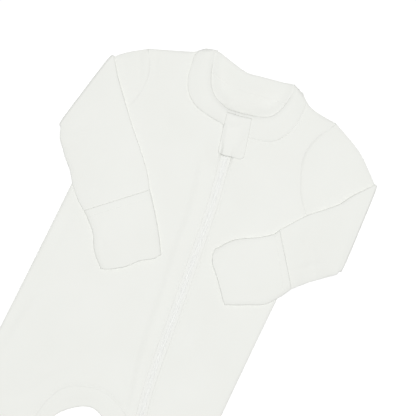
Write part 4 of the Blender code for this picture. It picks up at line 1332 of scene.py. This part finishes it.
def band_grid(part):
    """Rows of a line that starts under the seam, runs in to the fold and comes back on top. The
    half thickness is that of the band times (1 - |s| to the 4th) to 0.5. On the fronts the middle
    leans down to both sides, and on the back the band gets thinner towards the seam, where its end
    is hidden inside the back. The fronts' bands go down and nearly close at the shoulders."""
    inner, outer = band_edges(part, BAND_ROWS_LONG)
    if part == "back":
        outer = outer + (outer - inner) * BACK_HIDDEN
    else:  # on under the guard, where the two folds meet
        on = outer[-1] + UNDER_GUARD[part] * end_way(outer)
        inner = np.vstack((inner, place((FOLDS_MEET[part],))))
        outer = np.vstack((outer, on))
    s = edgewards(BAND_ACROSS)
    plans = inner[:, None] + (outer - inner)[:, None] * (s[:, None] + 1) / 2
    if part == "back":
        thick = BACK_BAND * (1 - BACK_THINNER * eased_step(s, BACK_THINS_FROM, 1.0))
        under = heights(neck_rise, plans) + BACK_LIFT * eased_step(s, BACK_LIFTS_FROM, 1.0)
        down = 0.0
        ends = s**4 * np.where(s < 0, 1, SEAM_CLOSED)
    else:
        thick = BAND_THICK
        under = heights(lie, plans) + LAYER
        run = run_of((inner + outer) / 2)[:, None]
        down = band_down(s, part) + SHOULDER_DOWN * fading(run, SHOULDER_REACH)
        ends = s ** np.where(s < 0, 4, EDGE_POWER[part])
        ends = 1 - (1 - ends) * (1 - SHOULDER_CLOSED * fading(run, CLOSED_REACH))
    half = np.clip(thick / 2 + heights(ripples, plans, "band"), 0, None) * np.sqrt(1 - ends)
    middle = under + thick / 2 - down
    return np.concatenate((raised(plans, middle - half)[:, :0:-1], raised(plans, middle + half)),
                          axis=1)


BAND_NODES = {"back": "neckband_back", "right": "neckband_front_right",
              "left": "neckband_front_left"}
for part, node in BAND_NODES.items():
    grid = band_grid(part)
    piece = flap(node + "_shell", grid, 3 * BAND_ACROSS // 2, BAND_WALL)
    cut(piece, node, *girths(grid), ["back_shell"] if part != "back" else ["floor"])

# %% [markdown]
# ## Crotch gusset
#
# The gusset is a strip folded round the arch between the legs, sewn to the back on the underside
# and to the front on top.

# %% Sew the gusset
GUSSET_ROUND = 1.1 * MM
GUSSET_STEPS = 8  # across each of its flat halves
GUSSET_TURNS = 10  # and round its fold
GUSSET_SEWN = (0.5 * MM, 1.6 * MM)
GUSSET_ROW = 3.6 * MM  # from its seam to the stitches on it
ROW_TO_EDGE = 1.6 * MM  # the least that is left beside them
TIP_FROM = 0.88  # of the way from the arch's middle to an ankle
TIP_IN = 0.75  # how far the tip's edge comes in to its seam
UNDER_SEWN = 0.6  # how far the back seam turns up, over how far the front seam goes down
TURN_IN = 0.22 * MM  # the groove at the end of the seam's turned-in cloth
TURN_IN_AT = 6 * MM
TURN_IN_HALF = 1.3 * MM
TURN_IN_WIDE = 9 * MM  # a narrower gusset shows none


def gusset_inner_row():
    """The row of stitches on the gusset, where the gusset is wide enough for one."""
    seam, edge = arch_line(GUSSET_SEAM), arch_line(GUSSET_EDGE)
    row = beside(seam, -GUSSET_ROW)
    return row[inside(row, joined(seam, edge[::-1])) & (distance_to(row, edge) > ROW_TO_EDGE)]


def gusset_sewn(points):
    """How far the gusset goes down at its seam and under its stitches."""
    down = falls(points, [(leg_seam(s), *GUSSET_SEWN) for s in SIDE])
    return down + dents(points, [gusset_inner_row()])


def gusset_grid():
    """For each station along the arch, a C-shaped line from the back seam in to the folded edge,
    round half a turn and back to the front seam. Height is a share of the front's own."""
    edges = arch_line(GUSSET_EDGE)[1:-1]
    seams = beside(arch_line(GUSSET_SEAM), -SEAM / 2)[1:-1]
    to_tip = eased_step(np.abs(np.linspace(-1, 1, len(edges))), TIP_FROM, 1.0)[:, None]
    edges = edges + TIP_IN * to_tip * (seams - edges)
    width = lengths(seams - edges)[:, None]
    into = (seams - edges) / width
    flat = np.linspace(1, 0, GUSSET_STEPS + 1)[:-1]
    turn = np.linspace(0, math.pi, GUSSET_TURNS + 1)
    round_in = np.minimum(GUSSET_ROUND, width / 2)
    back = round_in + (width - round_in) * flat
    fold = round_in * (1 - np.sin(turn))
    reach = np.concatenate((back, fold, back[:, ::-1]), axis=1)
    share = np.concatenate((0 * flat, (1 - np.cos(turn)) / 2, 1 + 0 * flat))
    plans = edges[:, None] + reach[..., None] * into[:, None]
    sewn = heights(gusset_sewn, plans)
    turn_in = TURN_IN * np.exp(-(((reach - TURN_IN_AT) / TURN_IN_HALF) ** 2))
    turn_in = turn_in * (width > TURN_IN_WIDE)
    height = share * (heights(lie, plans) - sewn - turn_in) + (1 - share) * UNDER_SEWN * sewn
    return raised(plans, height)


grid = gusset_grid()
piece = flap("crotch_gusset_shell", grid, -1)
cut(piece, "crotch_gusset", *girths(grid), ["floor"])

# %% [markdown]
# ## The zip
#
# The zip is a fine nylon coil. Its two tapes lie just below the folded edges of the fronts and run
# on under them, so no gap shows. The coil stands in the middle as a row of small flat hoops, each
# almost touching the next, and its nylon is painted whiter than the cloth to lift the shade between
# and on the hoops, so from above it is as pale as the cloth. It runs from under the slider to the
# wearer's left ankle.

# %% Lines along the zip
ZIP_END = ANKLE - 0.4 * MM
SLIDER_DEPTH = 64.5 * MM  # down the body, to its middle
SLIDER = (7.4 * MM, 10.5 * MM, 2.8 * MM)
SLIDER_LOW = 1.5 * MM
TAPE_SUNK = 0.45 * MM  # its top, below the top of the fronts


def zip_frame(depth):
    """The zip line's point at a depth, the way it runs down the body, and the way across it."""
    at = [np.interp(-(TOP_Y - depth), -ZIP[:, 1], values)
          for values in (*ZIP.T, *np.gradient(ZIP, axis=0).T)]
    way = unit(np.array(at[2:]))
    return np.array(at[:2]), way, left_of(way)


def zip_run(first, last, pitch):
    """Points along the zip from one depth to another, a pitch apart, and the ways along it."""
    kept = ZIP[(ZIP[:, 1] < TOP_Y - first) & (ZIP[:, 1] > TOP_Y - last)]
    kept = np.concatenate((zip_frame(first)[0][None], kept, zip_frame(last)[0][None]))
    line = stepped(kept, pitch)
    return line, unit(np.gradient(line, axis=0))


def tape_height(line):
    """The height of the tapes' tops along the zip."""
    return lie(line) - TAPE_SUNK


# %% Sew in the tapes
TAPE_HALF = 6.6 * MM
TAPES_LAP = 0.12 * MM  # each rounded edge, over the middle
TAPE_WALL = 0.5 * MM
TAPE_DOWN = 1.2 * MM  # at its far edge
TAPE_LEVEL = ZIP_OPEN / 2 - 0.7 * MM  # as far as it can be seen
TAPE_STEP = 2 * MM


def tape_grid(sign):
    """Rows across one tape, level by the coil and sloping down under the folded edge."""
    line, way = zip_run(SLIDER_DEPTH + SLIDER[1] / 2, ZIP_END, TAPE_STEP)
    reach = np.linspace(-TAPES_LAP, TAPE_HALF, 9)
    plans = line[:, None] + sign * reach[:, None] * left_of(way)[:, None]
    down = TAPE_DOWN * eased_step(reach, TAPE_LEVEL, TAPE_HALF)
    return raised(plans, tape_height(line)[:, None] - down)


for side, sign in OUTWARDS.items():
    piece = flap(f"zip_tape_{side}", tape_grid(sign), 4, TAPE_WALL, TAPE)
    hand_over(piece, "zip_chain")

# %% Bend the coil's hoops
COIL_WIDE = 4.2 * MM
COIL_HIGH = 0.34 * MM
COIL_SHORT = 1 * MM  # how far it ends before the tapes
HOOP = 0.46 * MM  # half the width of the wire
HOOP_FLAT = 0.3  # its height over its width
HOOP_PITCH = 0.98 * MM
HOOP_SLANT = 0.22 * MM  # a hoop lies askew: its two ends are this far up and down the zip
# Across a hoop: shares of half its width, and of its height.
HOOP_OUT = np.array((-1.0, -0.97, -0.72, -0.25, 0.25, 0.72, 0.97, 1.0))
HOOP_UP = np.array((-0.5, -0.2, 0.6, 1.0, 1.0, 0.6, -0.2, -0.5))
ROD_SIDES = 6


def rods(name, paths, radius, material, ends=0.55, flat=1.0):
    """Thin rods along many short paths of the same number of points, in one mesh. Each ring stands
    square to its path, flat times as high as wide. The first and the last are ends times as wide
    and closed by a fan."""
    way = unit(np.gradient(paths, axis=1))
    side = unit(np.cross(way, UP))
    lift = np.cross(side, way)
    turn = np.arange(ROD_SIDES) * math.tau / ROD_SIDES
    wide = np.full(paths.shape[1], radius)
    wide[[0, -1]] *= ends
    offset = (side[..., None, :] * np.cos(turn)[:, None]
              + lift[..., None, :] * flat * np.sin(turn)[:, None]) * wide[:, None, None]
    many, long = paths.shape[:2]
    points = (paths[:, :, None] + offset).reshape(-1, 3)
    number = np.arange(len(points)).reshape(many, long, ROD_SIDES)
    after = np.roll(number, -1, axis=2)
    quads = np.stack((number[:, :-1], number[:, 1:], after[:, 1:], after[:, :-1]), axis=-1)
    tips = np.stack((paths[:, 0], paths[:, -1]), axis=1).reshape(-1, 3)
    tip = len(points) + np.arange(2 * many).reshape(many, 2, 1)
    first = np.stack((number[:, 0], after[:, 0], np.broadcast_to(tip[:, 0], (many, ROD_SIDES))), -1)
    last = np.stack((after[:, -1], number[:, -1], np.broadcast_to(tip[:, 1], (many, ROD_SIDES))), -1)
    fans = np.concatenate((first.reshape(-1, 3), last.reshape(-1, 3)))
    run = np.cumsum(lengths(np.diff(paths, axis=1, prepend=paths[:, :1])), axis=1)
    round_it = np.arange(ROD_SIDES + 1) * math.tau / ROD_SIDES * radius
    u = np.broadcast_to(round_it, (many, long, ROD_SIDES + 1))
    v = np.broadcast_to(run[..., None], u.shape)
    uv = np.stack((u, v), axis=-1)
    quad_uv = np.stack((uv[:, :-1, :-1], uv[:, 1:, :-1], uv[:, 1:, 1:], uv[:, :-1, 1:]), axis=3)
    return make_mesh(name, np.concatenate((points, tips)), [quads.reshape(-1, 4), fans],
                     [quad_uv.reshape(-1, 4, 2), np.zeros((len(fans), 3, 2))], material)


line, way = zip_run(SLIDER_DEPTH + SLIDER[1] / 2, ZIP_END - COIL_SHORT, HOOP_PITCH)
reach = COIL_WIDE / 2 * HOOP_OUT
slant = HOOP_SLANT * np.sign(HOOP_OUT) * np.abs(HOOP_OUT) ** 0.5
plans = line[:, None] + reach[:, None] * left_of(way)[:, None] + slant[:, None] * way[:, None]
rise = HOOP_UP * (COIL_HIGH - HOOP_FLAT * HOOP)
hoops = raised(plans, tape_height(line)[:, None] + rise)
hand_over(rods("zip_coil", hoops, HOOP, NYLON_PAINTED_WHITER, ends=0.8, flat=HOOP_FLAT), None)

# %% [markdown]
# The slider is two small plates with a channel between them and a bridge on top. The tab's bar
# turns under the bridge. All of them are cast in zinc, so every edge is rounded. A plate is made
# as one closed skin: its outline is filled with triangles, and near an edge its two sides come
# together on a quarter circle.

# %% Castings
PLATE_ROUND = 0.45 * MM
PLATE_ROWS = (0.12, 0.4, 0.75, 1.0)  # rows of points set in from an edge, over PLATE_ROUND


def rounded_box(wide, long, power, count):
    """A superellipse: x is the half width times cos a to 2 / power, y the half length times sin a
    to 2 / power, each with its sign."""
    a = np.linspace(0, math.tau, count, endpoint=False)
    c, s = np.cos(a), np.sin(a)
    return np.column_stack((wide / 2 * np.sign(c) * np.abs(c) ** (2 / power),
                            long / 2 * np.sign(s) * np.abs(s) ** (2 / power)))


def plate(name, outline, thickness, grid, hole=None, relief=None):
    """A flat casting round z = 0. Near an edge, its half thickness is a half times the thickness
    times (1 - near squared) to 0.5, where near goes from 0 at PLATE_ROUND to 1 at the edge.
    relief(plan) is added to its upper side and taken from its lower one."""
    edges = [outline] if hole is None else [outline, hole]
    rows = list(edges)
    for edge, turn in zip(edges, (1, -1)):
        rows += [beside(closed(edge), turn * inset * PLATE_ROUND)[:-1] for inset in PLATE_ROWS]
    low, high = outline.min(0), outline.max(0)
    xs, ys = np.arange(low[0], high[0], grid), np.arange(low[1], high[1], grid)
    lattice = np.stack(np.meshgrid(xs, ys), axis=-1).reshape(-1, 2)
    gaps = lambda plan: np.min([distance_to(plan, closed(edge)) for edge in edges], axis=0)
    within = lambda plan: inside(plan, outline) & (hole is None or ~inside(plan, hole))
    rows.append(lattice[within(lattice) & (gaps(lattice) > PLATE_ROUND + grid / 2)])
    plan, faces = triangles(np.concatenate(rows), edges)
    faces = faces[within(plan[faces].mean(axis=1))]
    near = np.clip(1 - gaps(plan) / PLATE_ROUND, 0, 1)
    half = thickness / 2 * np.sqrt(1 - near**2)
    if relief is not None:
        half = half + relief(plan) * (near < 1e-6)
    below = len(plan) + np.arange(len(plan))
    border = np.arange(sum(len(edge) for edge in edges))
    below[border] = border  # both sides share the edge's points
    under = below[faces][:, ::-1]
    used, number = np.unique(np.concatenate((faces.ravel(), under.ravel())), return_inverse=True)
    points = np.concatenate((np.column_stack((plan, half)), np.column_stack((plan, -half))))[used]
    uv = [plan[faces], plan[faces][:, ::-1]]
    return make_mesh(name, points, list(number.reshape(2, -1, 3)), uv, ENAMEL)


def solid(name, grid):
    """A grid of closed rings as one closed skin, with a fan over each end."""
    points, faces, borders, corner_uv = grid_parts(grid, True)
    faces, corner_uv = outwards(points, faces, corner_uv)
    ends = []
    for ring in borders:
        ring = ring[::-1] if runs_with(ring, faces[0]) else ring
        middle = np.full(len(ring), len(points) + len(ends))
        ends.append(points[ring].mean(axis=0))
        faces.append(np.stack((ring, np.roll(ring, -1), middle), axis=1))
        corner_uv.append(np.zeros((len(ring), 3, 2)))
    return make_mesh(name, np.concatenate((points, ends)), faces, corner_uv, ENAMEL)


def stand(piece, place_at, lean=0.0):
    """Moves a piece's mesh into place: leans it about X, turns it about Z and shifts it."""
    move = (Matrix.Translation(place_at) @ Matrix.Rotation(SLIDER_TURN, 4, "Z")
            @ Matrix.Rotation(lean, 4, "X"))
    piece.data.transform(move)
    return piece


SLIDER_AT, SLIDER_WAY_DOWN, _ = zip_frame(SLIDER_DEPTH)
SLIDER_TURN = math.atan2(SLIDER_WAY_DOWN[1], SLIDER_WAY_DOWN[0]) + math.pi / 2
SLIDER_TOP = SLIDER_LOW + SLIDER[2]
print("the slider is turned by, degrees:", round(math.degrees(SLIDER_TURN), 1))

# %% The slider's plates and core
PLATE = 1.0 * MM  # thickness
PLATE_SHAPE = (3.2, 72)  # the power of its rounded box, and how many points
CORE_SHAPE = (2.2, 40)
TAIL = 0.86  # the width at the tail, over that at the head
TAIL_ENDS = (-4 * MM, 3 * MM)
CORE = (3.0 * MM, 6.0 * MM, 1.6 * MM)
CAST_GRID = 0.8 * MM

outline = rounded_box(SLIDER[0], SLIDER[1], *PLATE_SHAPE)
outline[:, 0] *= TAIL + (1 - TAIL) * eased_step(outline[:, 1], *TAIL_ENDS)
for name, middle in (("slider_base", SLIDER_LOW + PLATE / 2),
                     ("slider_cover", SLIDER_TOP - PLATE / 2)):
    piece = plate(name, outline, PLATE, CAST_GRID)
    hand_over(stand(piece, (*SLIDER_AT, middle)), "zip_slider")
core = plate("slider_core", rounded_box(CORE[0], CORE[1], *CORE_SHAPE), CORE[2], CAST_GRID)
hand_over(stand(core, (*SLIDER_AT, SLIDER_LOW + SLIDER[2] / 2)), None)

# %% The slider's bridge
# Its middle line is a flat-topped arch: over an angle a from -90 to 90 degrees it is half its
# length times sin a to the power 0.8 along, and its height times cos a to the power 0.35 up.
BRIDGE = (1.8 * MM, 7.6 * MM, 3.0 * MM)
BRIDGE_WALL = 1.0 * MM
BRIDGE_ROOT = 0.3 * MM  # how deep its feet go into the cover
BRIDGE_SHAPE = (3.5, 20)  # of its section
BRIDGE_POINTS = 17

angle = np.linspace(-math.pi / 2, math.pi / 2, BRIDGE_POINTS)
along_it = (BRIDGE[1] - BRIDGE_WALL) / 2 * np.sign(angle) * np.abs(np.sin(angle)) ** 0.8
high = BRIDGE[2] - BRIDGE_WALL / 2 + BRIDGE_ROOT
up_it = high * np.clip(np.cos(angle), 0, 1) ** 0.35
section = rounded_box(BRIDGE[0], BRIDGE_WALL, *BRIDGE_SHAPE)
slope = unit(np.stack((np.gradient(along_it), np.gradient(up_it)), axis=1))
bridge = np.empty((len(angle), len(section), 3))
bridge[..., 0] = section[:, 0]
bridge[..., 1] = along_it[:, None] - slope[:, 1:] * section[:, 1]
bridge[..., 2] = up_it[:, None] + slope[:, :1] * section[:, 1] - BRIDGE_ROOT
piece = solid("slider_bridge", bridge)
hand_over(stand(piece, (*SLIDER_AT, SLIDER_TOP)), None)

# %% The pull tab
PULL = (5.6 * MM, 22.1 * MM, 1.0 * MM)
PULL_BAR = 1.2 * MM  # the bar that turns under the bridge
PULL_WINDOW = (3.2 * MM, 6.6 * MM)
PULL_WAIST = 0.1  # how much narrower it is halfway down
PULL_DROP = math.radians(1.2)
HINGE_BACK = 1.8 * MM  # the bar's axis, above the slider's middle
GRIP = (PULL[0] - 2.4 * MM, 9.6 * MM)
GRIP_AT = 14.6 * MM
GRIP_DEEP = 0.16 * MM
GRIP_EDGE = 0.35 * MM
RIB = 0.1 * MM
RIB_PITCH = 1.9 * MM
TAB_GRID = 0.35 * MM
PULL_SHAPE = (4.5, 110)
WINDOW_SHAPE = (4.0, 56)
GRIP_SHAPE = (3.0, 40)

tab = rounded_box(PULL[0], PULL[1], *PULL_SHAPE) + (0, (PULL_BAR - PULL[1]) / 2)
tab[:, 0] *= 1 - PULL_WAIST * np.sin(np.clip(-tab[:, 1] / PULL[1], 0, 1) * math.pi)
window = rounded_box(*PULL_WINDOW, *WINDOW_SHAPE) - (0, (PULL_BAR + PULL_WINDOW[1]) / 2)
sunk = rounded_box(*GRIP, *GRIP_SHAPE) - (0, GRIP_AT)


def grip(plan):
    """The tab's lower half is sunk by GRIP_DEEP, less RIB times the half of 1 + cos(y / pitch) in
    whole turns, which makes five ribs across it."""
    deep = eased_step(distance_to(plan, closed(sunk)), 0, GRIP_EDGE) * inside(plan, sunk)
    ribs = 0.5 + 0.5 * np.cos(math.tau * plan[:, 1] / RIB_PITCH)
    return -deep * (GRIP_DEEP - RIB * ribs)


piece = plate("pull_tab", tab, PULL[2], TAB_GRID, window, grip)
hinge = (*(SLIDER_AT - SLIDER_WAY_DOWN * HINGE_BACK), SLIDER_TOP + LAYER + PULL_BAR / 2)
hand_over(stand(piece, hinge, PULL_DROP), "zip_pull", "zip_pull")

# %% [markdown]
# ## The zip guard
#
# The guard keeps the slider off the chin. It is a small flap of folded jersey that starts at the
# neckband's folds, lies over the band, rises over the slider's bridge and comes down to the cloth
# on both sides. Its lower edge is free, and the pull tab's end looks out from under it. The tab
# needs room to lift, so the guard stands clear of it only as far as the tab is wide.

# %% Sizes of the guard
# Its place down the body is given as depths, and its place across it as distances from the zip.
GUARD_ROWS = 56
GUARD_COLUMNS = 40
GUARD_ENDS = (45.5 * MM, 83.5 * MM)
GUARD_TOP = 48 * MM  # above this depth it runs straight on
GUARD_LEFT = 15.5 * MM
GUARD_RIGHT = 7.5 * MM
GUARD_NECK_SIDE = 6.6 * MM  # the right side is nearer to the zip at the neck
GUARD_WIDENS = (48 * MM, 66 * MM)
GUARD_CORNER = 3.2 * MM
GUARD_FLAT = 3 * MM  # how far the tent is level, to both sides
GUARD_CLEAR = 0.3 * MM  # over the slider's bridge
GUARD_LIFTS = (50 * MM, 58.5 * MM)  # here it rises to the bridge
GUARD_MOUTH_SIDE = 8.5 * MM  # how far the tent reaches on the left at the free edge
GUARD_NARROWS = 60 * MM  # from here on it reaches less far
GUARD_SETTLES = (70 * MM, 82 * MM)  # here it comes down beside the slider's way
GUARD_RISE = 0.8 * MM
GUARD_LAYER = 0.05 * MM
GUARD_ROOT = 0.7 * MM  # how far it turns down round the band's fold
ROOT_REACH = 3 * MM
GUARD_SHORT = 2.6 * MM  # how far it stays behind the fold
SHORT_REACH = 12 * MM  # so far down, its rows still follow the fold
print("the guard is long, mm:", round((GUARD_ENDS[1] - GUARD_ENDS[0]) / MM, 1))


# %% Sew the guard
def guard_grid():
    """Rows from the bands' folds to the free edge, whose corners are quarter circles. The height
    over its foot is that of the slider's bridge times a share that is 1 in the middle and 0 at the
    sides."""
    tent = SLIDER_TOP + BRIDGE[2] + GUARD_CLEAR
    first, last = GUARD_ENDS
    shares = edgewards(GUARD_COLUMNS)
    half = BAND_POINTS // 2
    folds = np.concatenate((band_edges("right")[0][half:], band_edges("left")[0][:half:-1]))
    grid, to_fold = [], None
    for depth in first + (last - first) * np.sin(np.linspace(0, math.pi / 2, GUARD_ROWS)):
        past = max(0.0, depth - last + GUARD_CORNER) / GUARD_CORNER
        corner = GUARD_CORNER * (1 - math.sqrt(max(0.0, 1 - 0.98 * past**2)))
        low_down = eased_step(depth, *GUARD_WIDENS)
        right = GUARD_NECK_SIDE + (GUARD_RIGHT - GUARD_NECK_SIDE) * low_down
        low_down = eased_step(depth, GUARD_NARROWS, last)
        foot_left = GUARD_LEFT + (GUARD_MOUTH_SIDE - GUARD_LEFT) * low_down
        reach = np.where(shares < 0, right - corner, GUARD_LEFT - corner) * shares
        level = 1 - eased_step(np.abs(reach), GUARD_FLAT, np.where(shares < 0, right, foot_left))
        at, way, side = zip_frame(max(depth, GUARD_TOP))
        at = at - way * max(0.0, GUARD_TOP - depth)
        plan = at + reach[:, None] * side
        if to_fold is None:
            to_fold = (np.interp(plan[:, 0], folds[:, 0], folds[:, 1]) - plan[:, 1]) / way[1]
            to_fold = to_fold + GUARD_SHORT
        plan = plan + (to_fold * fading(depth - first, SHORT_REACH))[:, None] * way
        foot = band_top(plan, 1 - eased_step(depth, *GUARD_SETTLES)) + GUARD_LAYER
        foot = foot - GUARD_ROOT * fading(depth - first, ROOT_REACH)
        low = foot + np.maximum(tent - foot, 0) * level * eased_step(depth, *GUARD_LIFTS)
        grid.append(np.column_stack((plan, low + GUARD_RISE)))
    return np.array(grid)


GUARD = guard_grid()
piece = flap("zip_guard_shell", GUARD, 16, GUARD_RISE)
cut(piece, "zip_guard", *girths(GUARD), ["front_left_shell"])

# %% [markdown]
# ## Stitches
#
# The zip's folds, the neck, the gusset, the feet, the guard and the mittens' hems are topstitched
# in a matching thread. The armholes and side seams are overlocked on the inside, so no thread shows
# there. A stitch is a short rod that comes up out of the cloth, lies on it and goes back down.
# The rows follow the same lines and heights as the cloth.

# %% Rows of stitches
STITCH = 2.3 * MM  # one stitch with its gap
STITCH_LONG = 1.75 * MM
FIRST_STITCH = 0.6 * MM  # where a row starts
THREAD_RADIUS = 0.13 * MM
# A stitch's points: shares of its length, and their heights over the cloth. Its ends are in it.
STITCH_AT = np.array((0, 0.15, 0.5, 0.85, 1))
STITCH_UP = np.array((-0.3, 0.02, 0.07, 0.02, -0.3)) * MM


def stitch_paths(line, up=1):
    """The points of each stitch along a line in space."""
    run = run_of(line)
    starts = np.arange(FIRST_STITCH, run[-1] - STITCH_LONG, STITCH)
    at = starts[:, None] + STITCH_AT * STITCH_LONG
    paths = np.stack([np.interp(at, run, line[:, i]) for i in range(3)], axis=-1)
    paths[..., 2] += up * STITCH_UP
    return paths


def over(plan, height):
    """A plan line laid on a surface, with a point every millimetre."""
    plan = stepped(plan, 1 * MM)
    return np.column_stack((plan, height(plan)))


def gusset_top(points):
    """The top of the gusset where it lies beside the front."""
    return lie(points) - gusset_sewn(points)


# %% Rows on the guard and the mittens
GUARD_ROW_SIDES = (-0.70, 0.85)  # shares of the way from the zip to the guard's sides
GUARD_ROW_CORNERS = (-0.62, 0.8)
GUARD_ROW_HEM = 2.4 * MM
GUARD_ROW_FROM = 63 * MM  # the depth at which it starts
HEM_ROW = HEM - 1.2 * MM


def column_of(share):
    """Where the guard's columns, which are at -cos of even angles, reach a share from -1 to 1."""
    return math.acos(-share) / math.pi * GUARD_COLUMNS


def guard_row():
    """Down the guard's right side, across its hem and up its left side."""
    lines = []
    for share in GUARD_ROW_SIDES:
        at = column_of(share)
        k = int(at)
        lines.append(GUARD[:, k] + (GUARD[:, k + 1] - GUARD[:, k]) * (at - k))
    right, left = lines
    hem = np.searchsorted(-right[:, 1], -(right[-1, 1] + GUARD_ROW_HEM))
    top = np.searchsorted(-right[:, 1], -(TOP_Y - GUARD_ROW_FROM))
    first, last = (round(column_of(share)) for share in GUARD_ROW_CORNERS)
    return np.concatenate((right[top:hem], GUARD[hem, first:last], left[hem - 1:top:-1]))


def hem_row(side):
    """Across the mitten's hem."""
    grid = mitten_grid(side)
    k = int(np.searchsorted(run_of(grid[:CUFF_RINGS].mean(axis=1)), HEM_ROW))
    return grid[k, 2:-2]


# %% Lay the stitches
rows = {"front_stitches": [over(line, front_top) for line in FRONT_ROWS],
        "gusset_stitches": [over(gusset_inner_row(), gusset_top)],
        "guard_stitches": [guard_row()],
        "mitten_stitches": [hem_row(side) for side in CUFF],
        "back_stitches": [over(line, back_under) for line in BACK_ROWS]}
for name, lines in rows.items():
    up = -1 if name == "back_stitches" else 1
    paths = np.concatenate([stitch_paths(line, up) for line in lines])
    hand_over(rods(name, paths, THREAD_RADIUS, THREAD), None)
